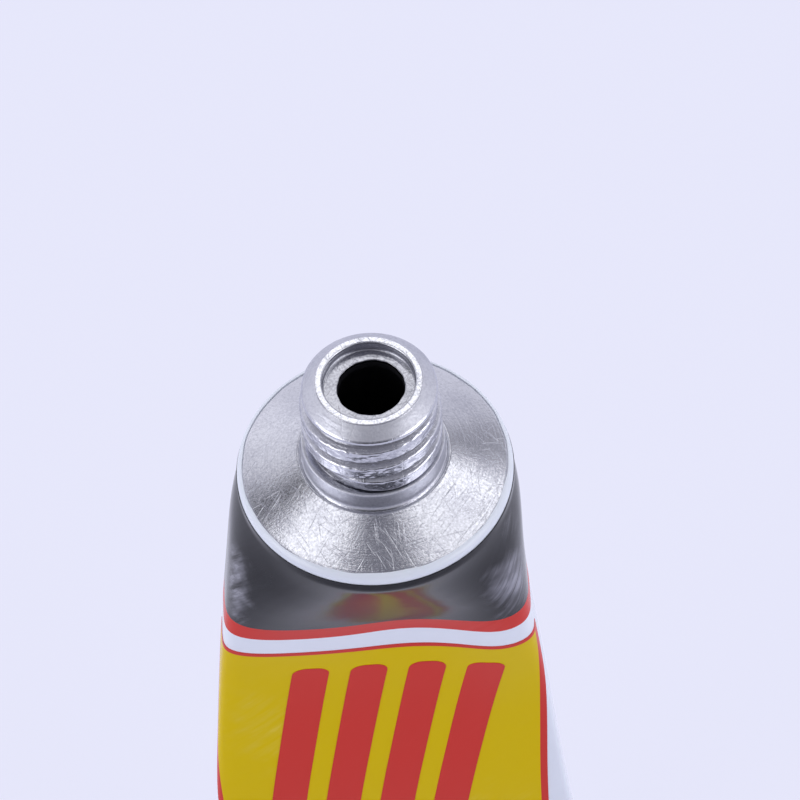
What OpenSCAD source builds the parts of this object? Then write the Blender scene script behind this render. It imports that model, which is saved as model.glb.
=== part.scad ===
// Squeeze tube of soft aluminium for a few grams of instant adhesive.
// It stands on its folded tail with the threaded neck up along +Z. X runs along
// the flat tail, the printed front faces -Y, and the origin lies on the floor
// under the middle of the tail.

/* [Sleeve] */
// Outside diameter of the bare foil at the round shoulder
tube_d = 13.4; // [12:0.1:15]
// Thickness of the foil wall
foil_t = 0.12; // [0.1:0.01:0.16]
// Height of the shoulder edge above the fold line of the tail
sleeve_h = 42; // [36:0.5:50]
// Share of the tube's radius by which the front wall is pressed in
front_dent_share = 0.32; // [0:0.01:0.38]
// Share of the tube's radius by which the back wall swells out
back_swell_share = 0.2; // [0:0.01:0.25]

/* [Shoulder] */
// Height of the straight rim under the shoulder edge
rim_h = 0.6; // [0.5:0.1:1]
// Radius of the rounded shoulder edge
edge_r = 0.45; // [0.3:0.05:0.6]
// Slope of the shoulder cone in degrees
shoulder_slope = 20.6; // [12:0.2:24]
// Thickness of the shoulder wall, measured upright
shoulder_t = 0.7; // [0.5:0.05:0.8]

/* [Neck] */
// Diameter of the plain collar at the foot of the neck
collar_d = 6.96; // [6.9:0.02:7.6]
// Height of the collar's straight side
collar_h = 1.1; // [0.6:0.1:1.4]
// Width of the turned groove round the foot of the collar
groove_w = 0.14; // [0.1:0.02:0.4]
// Depth of the turned groove
groove_depth = 0.1; // [0.05:0.01:0.2]
// Height of the neck above the collar
neck_h = 4.6; // [4.5:0.05:6]
// Diameter over the thread crests
thread_d = 6.76; // [6.6:0.02:6.88]
// Height of the thread ridge
thread_depth = 0.38; // [0.25:0.01:0.42]
// Pitch of the right-handed thread
thread_pitch = 1.3; // [1.2:0.02:1.34]
// Number of thread turns
thread_turns = 2.6; // [2:0.1:2.6]
// Height of the thread's first crest above the collar
thread_rise = 0.12; // [0.1:0.02:0.3]
// Width of the ridge at its root
ridge_root_w = 1.1; // [0.8:0.02:1.14]
// Width of the ridge at its crest
ridge_crest_w = 0.54; // [0.2:0.02:0.6]

/* [Mouth] */
// Outside diameter of the flat rim round the mouth
mouth_d = 5.16; // [4.9:0.02:5.4]
// Diameter of the lip at the foot of the mouth's bevel
lip_d = 6.5; // [6.4:0.02:6.6]
// Distance from the mouth's rim down to the lip
lip_drop = 0.62; // [0.5:0.02:0.8]
// Diameter of the recess in the mouth
recess_d = 4.44; // [4.2:0.02:4.6]
// Depth of the recess
recess_depth = 0.56; // [0.3:0.02:0.8]
// Thickness of the membrane under the recess
membrane_t = 0.56; // [0.4:0.02:0.8]
// Diameter of the spout hole pierced through the membrane
spout_d = 3.2; // [2:0.05:3.6]
// Sideways offset of the pierced hole from the neck's axis
spout_offset = 0.08; // [0:0.01:0.2]
// Diameter of the channel through the neck
channel_d = 4.2; // [4:0.02:4.4]

/* [Tail] */
// Height of the fold line above the bottom of the tail
tail_h = 5; // [4:0.1:7]
// Thickness of the sealant between the two foil walls
seal_t = 0.1; // [0.06:0.01:0.14]
// Height of the sealant's lower edge above the bottom of the tail
seal_foot = 1.15; // [0.8:0.05:1.6]
// Slack between the folded layers
fold_slack = 0.03; // [0.02:0.01:0.06]
// Distance from the fold line down to the folded layers
fold_drop = 0.9; // [0.8:0.05:1.2]
// Clearance between the foot of the sleeve and the tail that turns under it
fold_clearance = 0.13; // [0.1:0.01:0.2]

/* [Coat and print] */
// Thickness of the white enamel
coat_t = 0.05; // [0.03:0.01:0.08]
// Thickness of the printed colours
ink_t = 0.04; // [0.03:0.01:0.06]
// Bond line between the foil and the enamel
coat_bond = 0.02; // [0.02:0.01:0.04]
// Bond line between the enamel and a printed colour
ink_bond = 0.05; // [0.04:0.01:0.08]
// Distance from the shoulder edge down to the black band
black_from = 0.1; // [0:0.05:1.2]
// Distance from the shoulder edge down to the red band
red_from = 8.8; // [6:0.1:10]
// Width of the red band
red_w = 1.5; // [0.8:0.1:2]
// Width of the white band between the red band and the yellow panel
white_w = 2; // [1:0.1:3]
// Width of the red line round the yellow panel
border_w = 0.4; // [0.2:0.05:0.6]
// Distance from the lower edge of the yellow panel to the fold line
panel_foot = 3; // [2:0.1:5]
// Girth from the front's middle line to the panel's left edge
panel_left = 9.7; // [7:0.1:10]
// Girth from the front's middle line to the panel's right edge
panel_right = 8.6; // [7:0.1:10]
// Number of slanted bars on the panel
bar_count = 4; // [2:1:4]
// Width of a slanted bar along the girth
bar_w = 1.9; // [1:0.1:2.2]
// Sideways run of a bar from its top to its foot
bar_lean = -3; // [-4:0.5:0]
// Free strip between the panel's line and the bars
bar_margin = 1.8; // [1:0.1:2.5]

/* [Adhesive] */
// Distance from the shoulder edge down to the surface of the liquid
fill_depth = 5; // [3:0.5:20]
// Clearance between the liquid and the foil
fill_clearance = 0.04; // [0.03:0.01:0.08]

/* [Hidden] */
$fn = 96;
// Reach of a cut past the face that it opens
overrun = 0.5;

// Heights and radii that the pieces share
tube_r = tube_d/2;
girth = PI*tube_d;
shoulder_z = tail_h + sleeve_h;
strip_t = 2*foil_t + seal_t;
tail_w = girth/2 - strip_t;
foot_z = tail_h + strip_t/2 + fold_clearance;
wall_h = shoulder_z - rim_h - foot_z;

// Shares and powers that set how the section of the sleeve changes from round to flat
dent_skew = 0.6;
swell_skew = 0.8;
front_shift_share = 0.1;
squaring_share = 0.3;
flat_front_power = 5.6;
flat_back_power = 2.2;
round_power = 2;
row_skew = 1.25;

// Numbers of facets round and along the sleeve
column_count = 48;
row_count = 18;
outline_steps = 40;
solve_steps = 24;

// Share of a facet that a print's edge keeps from the next row or column
least_step_share = 0.15;
least_column = least_step_share*girth/column_count;
least_row_share = least_step_share/row_count;

// Half depth of the sleeve at its flat foot
foot_half = foil_t + seal_t;

// Rise from none to one and back along the sleeve
function hump(u, skew) = pow(sin(180*pow(u, skew)), 2);

// Rise from none to one over the first stretch of the sleeve
function ease(u) = pow(sin(90*min(1, u/squaring_share)), 2);

// Half depth of a plain wedge between the shoulder and the foot
function wedge(u) = tube_r*(1 - u) + foot_half*u;

// Distances of the front wall, the back wall and the widest line from the axis
function front_depth(u) = wedge(u) - front_dent_share*tube_r*hump(u, dent_skew);
function back_depth(u) = wedge(u) + back_swell_share*tube_r*hump(u, swell_skew);
function front_shift(u) = front_shift_share*tube_r*hump(u, dent_skew);

// How square the front and the back of the section are, from a circle upwards
function front_power(u) = round_power + (flat_front_power - round_power)*ease(u);
function back_power(u) = round_power + (flat_back_power - round_power)*ease(u);

function signed_pow(v, p) = sign(v)*pow(abs(v), p);

// Point of a section at a turn from the middle of the front, positive towards +X
function section_point(s, turn, off) =
    let (front = cos(turn) > 0,
         power = front ? s[3] : s[4],
         depth = (front ? s[1] : s[2]) + off)
    [(s[0] + off)*signed_pow(sin(turn), 2/power), -s[5] - depth*signed_pow(cos(turn), 2/power)];

// Points of half a section, from the middle of the front to the middle of the back
function half_outline(s, off) =
    [for (i = [0:outline_steps]) section_point(s, 180*i/outline_steps, off)];

// Girth from the middle of the front to each of those points
function half_girths(s) =
    let (p = half_outline(s, 0))
    [for (i = 0, g = 0; i <= outline_steps;
          g = g + norm(p[min(i + 1, outline_steps)] - p[i]), i = i + 1) g];

// Section with a given half width: width, front, back, both powers and the shift
function section_with(u, half_w) =
    [half_w, front_depth(u) - front_shift(u), back_depth(u) + front_shift(u),
     front_power(u), back_power(u), front_shift(u)];

// The foil doesn't stretch, so the half width follows from the girth
function solved_half(u, low, high, step) =
    let (mid = (low + high)/2)
    step < 1 ? mid
    : half_girths(section_with(u, mid))[outline_steps] > girth/2 ? solved_half(u, low, mid, step - 1)
    : solved_half(u, mid, high, step - 1);

// Section at a share of the sleeve, round on the rim above it
function section(u) =
    let (v = max(u, 0))
    section_with(v, solved_half(v, 0, tube_d, solve_steps));

// Places of the sleeve's rows along its height, closer near the shoulder
row_shares = [for (k = [0:row_count]) pow(k/row_count, row_skew)];

// Height above the floor at a share of the sleeve, and the share at a depth under the shoulder
function height_at(u) = shoulder_z - rim_h - u*wall_h;
function share_at(depth) = (depth - rim_h)/wall_h;

// Points of the wall at one share of its height, at places along the girth from the front's middle
function wall_points(u, places, off) =
    let (s = section(u),
         g = half_girths(s),
         p = half_outline(s, off),
         across = [for (i = [0:outline_steps]) [g[i], p[i][0]]],
         along = [for (i = [0:outline_steps]) [g[i], p[i][1]]])
    [for (place = places)
        [sign(place)*lookup(abs(place), across), lookup(abs(place), along), height_at(u)]];

// Ring of points right round the wall
ring_places = [for (i = [0:column_count - 1]) girth*(i/column_count - 1/2)];
function wall_ring(u, off) = wall_points(u, ring_places, off);

// Two triangles of a four-cornered face
function split_face(a, b, c, d) = [[a, b, c], [a, c, d]];

// Faces of a closed belt between two rings that start at a and b
function belt_faces(a, b, n) =
    [for (i = [0:n - 1], f = split_face(a + i, a + (i + 1)%n, b + (i + 1)%n, b + i)) f];

// Faces of such a belt seen from inside, split along the same diagonals
function lining_faces(a, b, n) =
    [for (i = [0:n - 1], f = split_face(a + i, b + i, b + (i + 1)%n, a + (i + 1)%n)) f];

// Closed shell round the sleeve between two offsets from the foil's outer face
module wall_shell(shares, inner, outer) {
    n = column_count;
    last = len(shares) - 1;
    lining = (last + 1)*n;
    points = [for (off = [outer, inner], u = shares, p = wall_ring(u, off)) p];
    faces = [
        for (k = [0:last - 1], f = belt_faces(k*n, (k + 1)*n, n)) f,
        for (k = [0:last - 1], f = lining_faces(lining + k*n, lining + (k + 1)*n, n)) f,
        for (f = belt_faces(lining, 0, n)) f,
        for (f = belt_faces(last*n, lining + last*n, n)) f
    ];
    polyhedron(points, faces, convexity = 4);
}

// Solid that fills the sleeve between its first and last share
module wall_fill(shares, off) {
    n = column_count;
    last = len(shares) - 1;
    points = [for (u = shares, p = wall_ring(u, off)) p];
    faces = [
        for (k = [0:last - 1], f = belt_faces(k*n, (k + 1)*n, n)) f,
        [for (i = [n - 1:-1:0]) i],
        [for (i = [0:n - 1]) last*n + i]
    ];
    polyhedron(points, faces, convexity = 4);
}

// Two ends and the steps of a list that lie between them, none too close to an end
function steps_between(first, last, steps, least) =
    [first, for (s = steps) if (s > first + least && s < last - least) s, last];

// Shares of a band between two depths, with the sleeve's own rows between
function band_shares(from, to) = steps_between(share_at(from), share_at(to), row_shares, least_row_share);

// Printed patch on the front, between two depths and two places along the girth
module wall_patch(from, to, left, right, inner, lean = 0) {
    shares = band_shares(from, to);
    last = len(shares) - 1;
    places = steps_between(left, right, ring_places, least_column);
    n = len(places) - 1;
    side = n + 1;
    back = (last + 1)*side;
    function row_places(k) =
        let (shift = lean*(shares[k] - shares[0])/(shares[last] - shares[0]))
        [for (place = places) place + shift];
    points = [for (off = [inner + ink_t, inner], k = [0:last],
                   p = wall_points(shares[k], row_places(k), off)) p];
    function at(layer, k, i) = layer*back + k*side + i;
    faces = [
        for (k = [0:last - 1], i = [0:n - 1],
             f = split_face(at(0, k, i), at(0, k, i + 1), at(0, k + 1, i + 1), at(0, k + 1, i))) f,
        for (k = [0:last - 1], i = [0:n - 1],
             f = split_face(at(1, k, i), at(1, k + 1, i), at(1, k + 1, i + 1), at(1, k, i + 1))) f,
        for (i = [0:n - 1], f = split_face(at(1, 0, i), at(1, 0, i + 1), at(0, 0, i + 1), at(0, 0, i))) f,
        for (i = [0:n - 1],
             f = split_face(at(0, last, i), at(0, last, i + 1), at(1, last, i + 1), at(1, last, i))) f,
        for (k = [0:last - 1], f = split_face(at(1, k + 1, 0), at(1, k, 0), at(0, k, 0), at(0, k + 1, 0))) f,
        for (k = [0:last - 1], f = split_face(at(0, k + 1, n), at(0, k, n), at(1, k, n), at(1, k + 1, n))) f
    ];
    polyhedron(points, faces, convexity = 4);
}

// Shoulder cone: where the rounded edge ends, and the height of the cone at a radius
edge_turn = 90 - shoulder_slope;
edge_end_r = tube_r - edge_r*(1 - cos(edge_turn));
edge_end_z = edge_r*sin(edge_turn);
function cone_z(r) = edge_end_z + (edge_end_r - r)*tan(shoulder_slope);
edge_steps = 8;

// Outline of the rounded edge, moved outwards by an offset
function edge_arc(off) =
    [for (i = [0:edge_steps])
        let (turn = edge_turn*i/edge_steps)
        [tube_r - edge_r + (edge_r + off)*cos(turn), (edge_r + off)*sin(turn)]];

// Heights on the neck above the shoulder edge
collar_r = collar_d/2;
collar_foot_z = cone_z(collar_r);
collar_top_z = collar_foot_z + collar_h;
mouth_z = collar_top_z + neck_h;
recess_z = mouth_z - recess_depth;
membrane_z = recess_z - membrane_t;
thread_r = thread_d/2;
root_r = thread_r - thread_depth;
mouth_r = mouth_d/2;
channel_r = channel_d/2;
lip_r = lip_d/2;
lip_z = mouth_z - lip_drop;
lip_foot_z = lip_z - (lip_r - root_r);
inner_r = tube_r - foil_t;
groove_r = collar_r + groove_w;

// The ridge sinks into the neck so that the two make one solid
ridge_sink = thread_depth/2;
ridge_steps = 24;
ridge_fade_share = 0.12;
thread_start_turn = 200;

// Ring of the thread ridge at a share of its length, low and round at both ends
function ridge_ring(share) =
    let (turn = thread_start_turn + 360*thread_turns*share,
         z = collar_top_z + thread_rise + thread_pitch*thread_turns*share,
         rise = sin(90*min(1, share/ridge_fade_share, (1 - share)/ridge_fade_share)),
         foot_r = root_r - ridge_sink,
         crest_r = root_r - ridge_sink/2 + (thread_depth + ridge_sink/2)*rise)
    [for (p = [[foot_r, -ridge_root_w/2], [crest_r, -ridge_crest_w/2],
               [crest_r, ridge_crest_w/2], [foot_r, ridge_root_w/2]])
        [p[0]*cos(turn), p[0]*sin(turn), z + p[1]]];

module thread_ridge() {
    count = ceil(ridge_steps*thread_turns);
    corners = 4;
    points = [for (k = [0:count], p = ridge_ring(k/count)) p];
    faces = [
        for (k = [0:count - 1], f = belt_faces(k*corners, (k + 1)*corners, corners)) f,
        [for (i = [corners - 1:-1:0]) i],
        [for (i = [0:corners - 1]) count*corners + i]
    ];
    polyhedron(points, faces, convexity = 8);
}

module tube_head() {
    color("silver") translate([0, 0, shoulder_z]) difference() {
        union() {
            rotate_extrude() polygon([
                [inner_r, -rim_h],
                [tube_r, -rim_h],
                each edge_arc(0),
                [groove_r, cone_z(groove_r)],
                [groove_r - groove_w/2, cone_z(groove_r) - groove_depth],
                [collar_r, collar_foot_z],
                [collar_r, collar_top_z],
                [root_r, collar_top_z],
                [root_r, lip_foot_z],
                [lip_r, lip_z],
                [mouth_r, mouth_z],
                [recess_d/2, mouth_z],
                [recess_d/2, recess_z],
                [0, recess_z],
                [0, membrane_z],
                [channel_r, membrane_z],
                [channel_r, cone_z(channel_r) - shoulder_t],
                [inner_r, cone_z(inner_r) - shoulder_t]
            ]);
            thread_ridge();
        }
        translate([spout_offset, 0, membrane_z - overrun])
            cylinder(d = spout_d, h = membrane_t + overrun + recess_depth);
    }
}

module sleeve() {
    color("gainsboro") wall_shell(row_shares, -foil_t, 0);
}

module sleeve_coat() {
    color("white") wall_shell(row_shares, coat_bond, coat_bond + coat_t);
}

module edge_coat() {
    color("white") translate([0, 0, shoulder_z]) rotate_extrude() polygon([
        [tube_r, -rim_h],
        [tube_r + coat_t, -rim_h],
        each edge_arc(coat_t),
        for (i = [edge_steps:-1:0]) edge_arc(0)[i]
    ]);
}

// Offsets of the first printing and of the one that lies over it
first_ink = coat_bond + coat_t + ink_bond;
second_ink = first_ink + ink_t + ink_bond;

module black_band() {
    color("#26262a") wall_shell(band_shares(black_from, red_from), first_ink, first_ink + ink_t);
}

module red_band() {
    color("#c8373c") wall_shell(band_shares(red_from, red_from + red_w), first_ink, first_ink + ink_t);
}

// Depths of the yellow panel's frame under the shoulder edge
frame_from = red_from + red_w + white_w;
frame_to = sleeve_h - panel_foot;

// Edges of the yellow field inside its border
field_from = frame_from + border_w;
field_to = frame_to - border_w;
field_left = border_w - panel_left;
field_right = panel_right - border_w;

module yellow_panel() {
    color("#d8b400") wall_patch(field_from, field_to, field_left, field_right, first_ink);
}

module panel_border() {
    color("#c8373c") {
        wall_patch(frame_from, field_from, -panel_left, panel_right, first_ink);
        wall_patch(field_to, frame_to, -panel_left, panel_right, first_ink);
        wall_patch(field_from, field_to, -panel_left, field_left, first_ink);
        wall_patch(field_from, field_to, field_right, panel_right, first_ink);
    }
}

// Step between two slanted bars, which share the field evenly
bar_first = field_left + bar_margin - bar_lean;
bar_step = (field_right - bar_margin - bar_w - bar_first)/(bar_count - 1);

module red_bars() {
    color("#c8373c") for (i = [0:bar_count - 1])
        wall_patch(field_from + bar_margin, field_to - bar_margin, bar_first + i*bar_step,
                   bar_first + i*bar_step + bar_w, second_ink, bar_lean);
}

// Folded strip seen from its end: x is the depth of the tube and y its height
layer_step = strip_t + fold_slack;
bend_r = layer_step + strip_t/2;
hem_r = layer_step/2 + strip_t/2;
hem_z = tail_h - fold_drop - hem_r;

module strip_layer(y, from, to) {
    translate([y - strip_t/2, from]) square([strip_t, to - from]);
}

module half_bend(y, z, outer, below) {
    translate([y, z]) intersection() {
        difference() {
            circle(r = outer);
            circle(r = outer - strip_t);
        }
        translate([-outer, below ? -outer : 0]) square([2*outer, outer]);
    }
}

module folded_strip() {
    strip_layer(0, bend_r, tail_h);
    translate([0, tail_h]) circle(d = strip_t);
    half_bend(layer_step, bend_r, bend_r, true);
    strip_layer(2*layer_step, bend_r, hem_z);
    half_bend(layer_step*3/2, hem_z, hem_r, false);
    strip_layer(layer_step, bend_r, hem_z);
}

module seal_strip(w) {
    translate([-w/2, -seal_t/2, seal_foot]) cube([w, seal_t, tail_h - fold_drop/2 - seal_foot]);
}

module tail_crimp() {
    color("whitesmoke") difference() {
        rotate([90, 0, 90]) translate([0, 0, -tail_w/2]) linear_extrude(height = tail_w) folded_strip();
        seal_strip(tail_w + 2*overrun);
    }
}

module end_seal() {
    color("tan") seal_strip(tail_w);
}

module adhesive() {
    top = share_at(fill_depth);
    color("lightyellow")
        wall_fill([top, for (u = row_shares) if (u > top) u], -foil_t - fill_clearance);
}

tube_head();
sleeve();
tail_crimp();
end_seal();
adhesive();
sleeve_coat();
edge_coat();
black_band();
red_band();
yellow_panel();
panel_border();
red_bars();
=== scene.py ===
"""Looks of a soft aluminium squeeze tube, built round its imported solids.

The tube stands on its folded tail with the threaded neck up along +Z, and its printed
front faces -Y. Sizes are in millimetres and become metres where a mesh is made.
"""

import logging
import math
from dataclasses import dataclass
from enum import Enum
from functools import partial
from typing import Any, Callable, Optional, Sequence

import bpy
import numpy as np
from mathutils import Matrix, Vector


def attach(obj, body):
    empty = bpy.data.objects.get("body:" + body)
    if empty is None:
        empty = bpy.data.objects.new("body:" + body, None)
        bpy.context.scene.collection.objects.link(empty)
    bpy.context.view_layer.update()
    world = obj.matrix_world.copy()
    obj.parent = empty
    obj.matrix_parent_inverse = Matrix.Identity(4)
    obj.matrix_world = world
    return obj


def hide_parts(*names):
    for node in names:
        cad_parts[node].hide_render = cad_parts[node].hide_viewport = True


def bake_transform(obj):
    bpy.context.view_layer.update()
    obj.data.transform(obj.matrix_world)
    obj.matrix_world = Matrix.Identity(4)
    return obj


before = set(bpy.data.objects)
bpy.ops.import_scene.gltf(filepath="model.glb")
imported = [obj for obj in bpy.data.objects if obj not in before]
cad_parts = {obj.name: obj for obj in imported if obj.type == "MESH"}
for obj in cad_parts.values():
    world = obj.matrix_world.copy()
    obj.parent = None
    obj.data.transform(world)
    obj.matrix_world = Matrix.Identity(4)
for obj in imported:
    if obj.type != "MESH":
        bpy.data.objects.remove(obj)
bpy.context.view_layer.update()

MM = 0.001
LOG = logging.getLogger("squeeze_tube")

Adder = Callable[..., bpy.types.Node]
Point = tuple[float, float]
Direction = tuple[float, float, float]


class Body(Enum):
    """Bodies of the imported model."""

    TUBE = "tube"
    TAIL = "tail"


class Slot(Enum):
    """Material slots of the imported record."""

    BARE_ALUMINIUM = "bare_aluminium"
    FOIL = "foil"
    ENAMELLED_FOIL = "enamelled_foil"
    LATEX = "latex"
    ADHESIVE = "adhesive"
    WHITE_ENAMEL = "white_enamel"
    BLACK_INK = "black_ink"
    RED_INK = "red_ink"
    YELLOW_INK = "yellow_ink"


def linear(hex_colour: str) -> tuple[float, float, float, float]:
    """Turn an sRGB hex colour into linear RGBA.

    Args:
        hex_colour: Six hex digits, with or without a leading hash.

    Returns:
        Linear red, green, blue and an alpha of one.
    """
    digits = hex_colour.lstrip("#")
    shares = [int(digits[i:i + 2], 16) / 255 for i in (0, 2, 4)]
    red, green, blue = [
        s / 12.92 if s <= 0.04045 else ((s + 0.055) / 1.055) ** 2.4 for s in shares]
    return red, green, blue, 1.0


def set_inputs(tree: bpy.types.NodeTree, node: bpy.types.Node, inputs: dict[Any, Any]) -> None:
    """Set or link a node's sockets.

    Args:
        tree: The node's tree.
        node: The node.
        inputs: Values for its sockets by name or number: a node, a socket or a constant.
    """
    for key, value in inputs.items():
        if isinstance(value, bpy.types.Node):
            value = value.outputs[0]
        if isinstance(value, bpy.types.NodeSocket):
            tree.links.new(value, node.inputs[key])
        else:
            node.inputs[key].default_value = value


def add_node(tree: bpy.types.NodeTree, kind: str, *values: Any,
             inputs: Optional[dict[Any, Any]] = None, **settings: Any) -> bpy.types.Node:
    """Add a node with its settings and links.

    Args:
        tree: The tree that gets the node.
        kind: Blender's name of the node's type.
        values: Values for its first sockets in order, as set_inputs takes them.
        inputs: Values for other sockets by name or number.
        settings: Properties of the node.

    Returns:
        The new node.
    """
    node = tree.nodes.new(kind)
    for key, value in settings.items():
        setattr(node, key, value)
    set_inputs(tree, node, {**dict(enumerate(values)), **(inputs or {})})
    return node


def clouded(add: Adder, place: bpy.types.Node, size: float, detail: float,
            colour: str, other: str) -> bpy.types.NodeSocket:
    """Blend two shades in soft clouds.

    Args:
        add: Adds a node to the material.
        place: Coordinates in millimetres.
        size: Size of a cloud in millimetres.
        detail: Number of finer layers in it.
        colour: One shade.
        other: The other shade.

    Returns:
        The blended colour.
    """
    cloud = add("ShaderNodeTexNoise",
                inputs={"Vector": place, "Scale": 1 / size, "Detail": detail})
    return add("ShaderNodeMix", cloud, data_type="RGBA",
               inputs={6: linear(colour), 7: linear(other)}).outputs[2]


class Finish:
    """A material of one principled shader, with its patterns laid out in millimetres."""

    name: str

    def sockets(self, add: Adder, place: bpy.types.Node) -> dict[str, Any]:
        """Give the values of the shader's sockets, by name."""
        raise NotImplementedError

    def material(self) -> bpy.types.Material:
        """Build the material.

        Returns:
            The material with its patterns linked to the shader.
        """
        material = bpy.data.materials.new(self.name)
        material.use_nodes = True
        tree = material.node_tree
        add = partial(add_node, tree)
        coords = add("ShaderNodeTexCoord")
        place = add("ShaderNodeVectorMath", coords.outputs["Object"], operation="SCALE",
                    inputs={"Scale": 1 / MM})
        set_inputs(tree, tree.nodes["Principled BSDF"], self.sockets(add, place))
        return material


@dataclass(frozen=True)
class TurnedAluminium(Finish):
    """Bare aluminium, impact extruded and turned on a lathe.

    Circular tool marks smear its highlights into bright and dark sectors, and handling
    has left a grain of small dents and a few stray scratches.
    """

    name: str = "turned_aluminium"
    colour: str = "#cfd0d7"
    dull_colour: str = "#a6a7b2"
    # Noise between which the metal goes from bright to dull, and the most that it dulls
    dull_span: Point = (0.85, 1.3)
    dull_most: float = 0.55
    roughness: float = 0.2
    roughness_spread: float = 0.14
    anisotropy: float = 0.4
    # A lathe leaves marks about 0.05 mm apart; 0.13 mm is the finest that shows
    mark_spacing: float = 0.13
    mark_weight: float = 0.6
    grain_size: float = 0.12
    grain_falloff: float = 0.65
    grain_span: Point = (0.3, 0.7)
    grain_weight: float = 0.62
    # Real scratches are a few hundredths of a millimetre wide; these are as fine as shows
    scratch_spacing: float = 0.088
    scratch_span: Point = (0.68, 0.75)
    scratch_weight: float = 0.24
    scratch_length: float = 2.2
    scratch_turns: tuple[float, ...] = (-0.75, -1.05, -1.5, -2.2, 0.3)
    # Shift of each set of scratches for a turn of one, which keeps the sets apart
    scratch_shift: Point = (7.0, 3.0)
    smudge_size: float = 2.2
    relief: float = 0.012
    # Grey residue and painted shade lie in the thread, the collar's groove and the recess: radii of
    # none and most, the heights between which they lie, and their share
    residue_and_shade_colour: str = "#4c4c54"
    residue_and_shade_bands: tuple[tuple[float, float, float, float, float], ...] = (
        (3.2, 3.03, 49.55, 53.45, 0.6), (3.475, 3.41, 48.4, 48.7, 0.85),
        (2.3, 2.15, 53.4, 53.9, 0.45))
    # The lip and the collar were faced with a blunter tool: their radii and heights
    matt_bands: tuple[tuple[float, float, float, float], ...] = (
        (2.6, 3.35, 53.7, 54.3), (3.3, 3.52, 48.4, 49.75))
    matt_roughness: float = 0.26

    def sockets(self, add: Adder, place: bpy.types.Node) -> dict[str, Any]:
        """Draw tool marks, grain, scratches, residue with painted shade, and matt bands.

        Args:
            add: Adds a node to the material.
            place: Coordinates in millimetres.

        Returns:
            Values of the shader's sockets.
        """
        flat = add("ShaderNodeVectorMath", place, (1, 1, 0), operation="MULTIPLY")
        radius = add("ShaderNodeVectorMath", flat, operation="LENGTH").outputs["Value"]
        heading = add("ShaderNodeVectorMath", flat, operation="NORMALIZE")
        height = add("ShaderNodeSeparateXYZ", place).outputs["Z"]
        run = add("ShaderNodeMath", radius, height, operation="SUBTRACT")
        row = add("ShaderNodeMath", run, self.mark_spacing, operation="DIVIDE")
        step = add("ShaderNodeCombineXYZ", inputs={"Z": row})
        lathe = add("ShaderNodeVectorMath", heading, step, operation="ADD")
        marks = add("ShaderNodeTexNoise", inputs={"Vector": lathe, "Scale": 1.0, "Detail": 2.0})
        grain = add("ShaderNodeTexNoise", inputs={
            "Vector": place, "Scale": 1 / self.grain_size, "Detail": 2.0,
            "Roughness": self.grain_falloff})
        smudge = add("ShaderNodeTexNoise", inputs={
            "Vector": place, "Scale": 1 / self.smudge_size, "Detail": 4.0})

        speckle = add("ShaderNodeMath", grain, smudge, operation="ADD")
        dull = add("ShaderNodeMapRange", speckle, *self.dull_span, 0.0, self.dull_most)
        colour = add("ShaderNodeMix", dull, data_type="RGBA", inputs={
            6: linear(self.colour), 7: linear(self.dull_colour)}).outputs[2]
        rough = add("ShaderNodeMapRange", grain, *self.grain_span,
                    self.roughness - self.roughness_spread / 2,
                    self.roughness + self.roughness_spread / 2)
        # Painted shade: this darkening of the thread's roots, the collar's groove and the recess is
        # grey residue and also the shade that falls in these hollows
        grime_and_shade: Any = 0.0
        for none_r, most_r, low, high, share in self.residue_and_shade_bands:
            deep = add("ShaderNodeMapRange", radius, none_r, most_r, 0.0, share,
                       interpolation_type="SMOOTHSTEP")
            level = add("ShaderNodeMath", height, (low + high) / 2, (high - low) / 2,
                        operation="COMPARE")
            here = add("ShaderNodeMath", deep, level, operation="MULTIPLY")
            grime_and_shade = add("ShaderNodeMath", grime_and_shade, here, operation="MAXIMUM")
        soiled_and_shaded = add("ShaderNodeMix", grime_and_shade, data_type="RGBA", inputs={
            6: colour, 7: linear(self.residue_and_shade_colour)}).outputs[2]
        for inner, outer, low, high in self.matt_bands:
            ring = add("ShaderNodeMath", radius, (inner + outer) / 2, (outer - inner) / 2,
                       operation="COMPARE")
            level = add("ShaderNodeMath", height, (low + high) / 2, (high - low) / 2,
                        operation="COMPARE")
            here = add("ShaderNodeMath", ring, level, operation="MULTIPLY")
            rough = add("ShaderNodeMath", here, self.matt_roughness, rough,
                        operation="MULTIPLY_ADD")

        grooves = add("ShaderNodeMath", marks, self.mark_weight, operation="MULTIPLY")
        dents = add("ShaderNodeMath", grain, self.grain_weight, grooves, operation="MULTIPLY_ADD")
        cut = add("ShaderNodeMath", self.scratches(add, place), -self.scratch_weight, dents,
                  operation="MULTIPLY_ADD")
        bump = add("ShaderNodeBump", inputs={"Distance": self.relief * MM, "Height": cut})
        tangent = add("ShaderNodeTangent", direction_type="RADIAL", axis="Z")
        return {"Metallic": 1.0, "Anisotropic": self.anisotropy, "Base Color": soiled_and_shaded,
                "Roughness": rough, "Normal": bump, "Tangent": tangent}

    def scratches(self, add: Adder, place: bpy.types.Node) -> bpy.types.Node:
        """Draw a few sets of straight hairline scratches.

        Args:
            add: Adds a node to the material.
            place: Coordinates in millimetres.

        Returns:
            A node whose value is one in a scratch and none beside it.
        """
        total: Any = 0.0
        for turn in self.scratch_turns:
            lines = add("ShaderNodeMapping", vector_type="TEXTURE", inputs={
                "Vector": place, "Rotation": (0, 0, turn),
                "Location": (turn * self.scratch_shift[0], turn * self.scratch_shift[1], 0),
                "Scale": (self.scratch_length, self.scratch_spacing, self.scratch_length)})
            noise = add("ShaderNodeTexNoise", inputs={"Vector": lines, "Scale": 1.0, "Detail": 1.0})
            thin = add("ShaderNodeMapRange", noise, *self.scratch_span)
            total = add("ShaderNodeMath", total, thin, operation="MAXIMUM")
        return total


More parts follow.
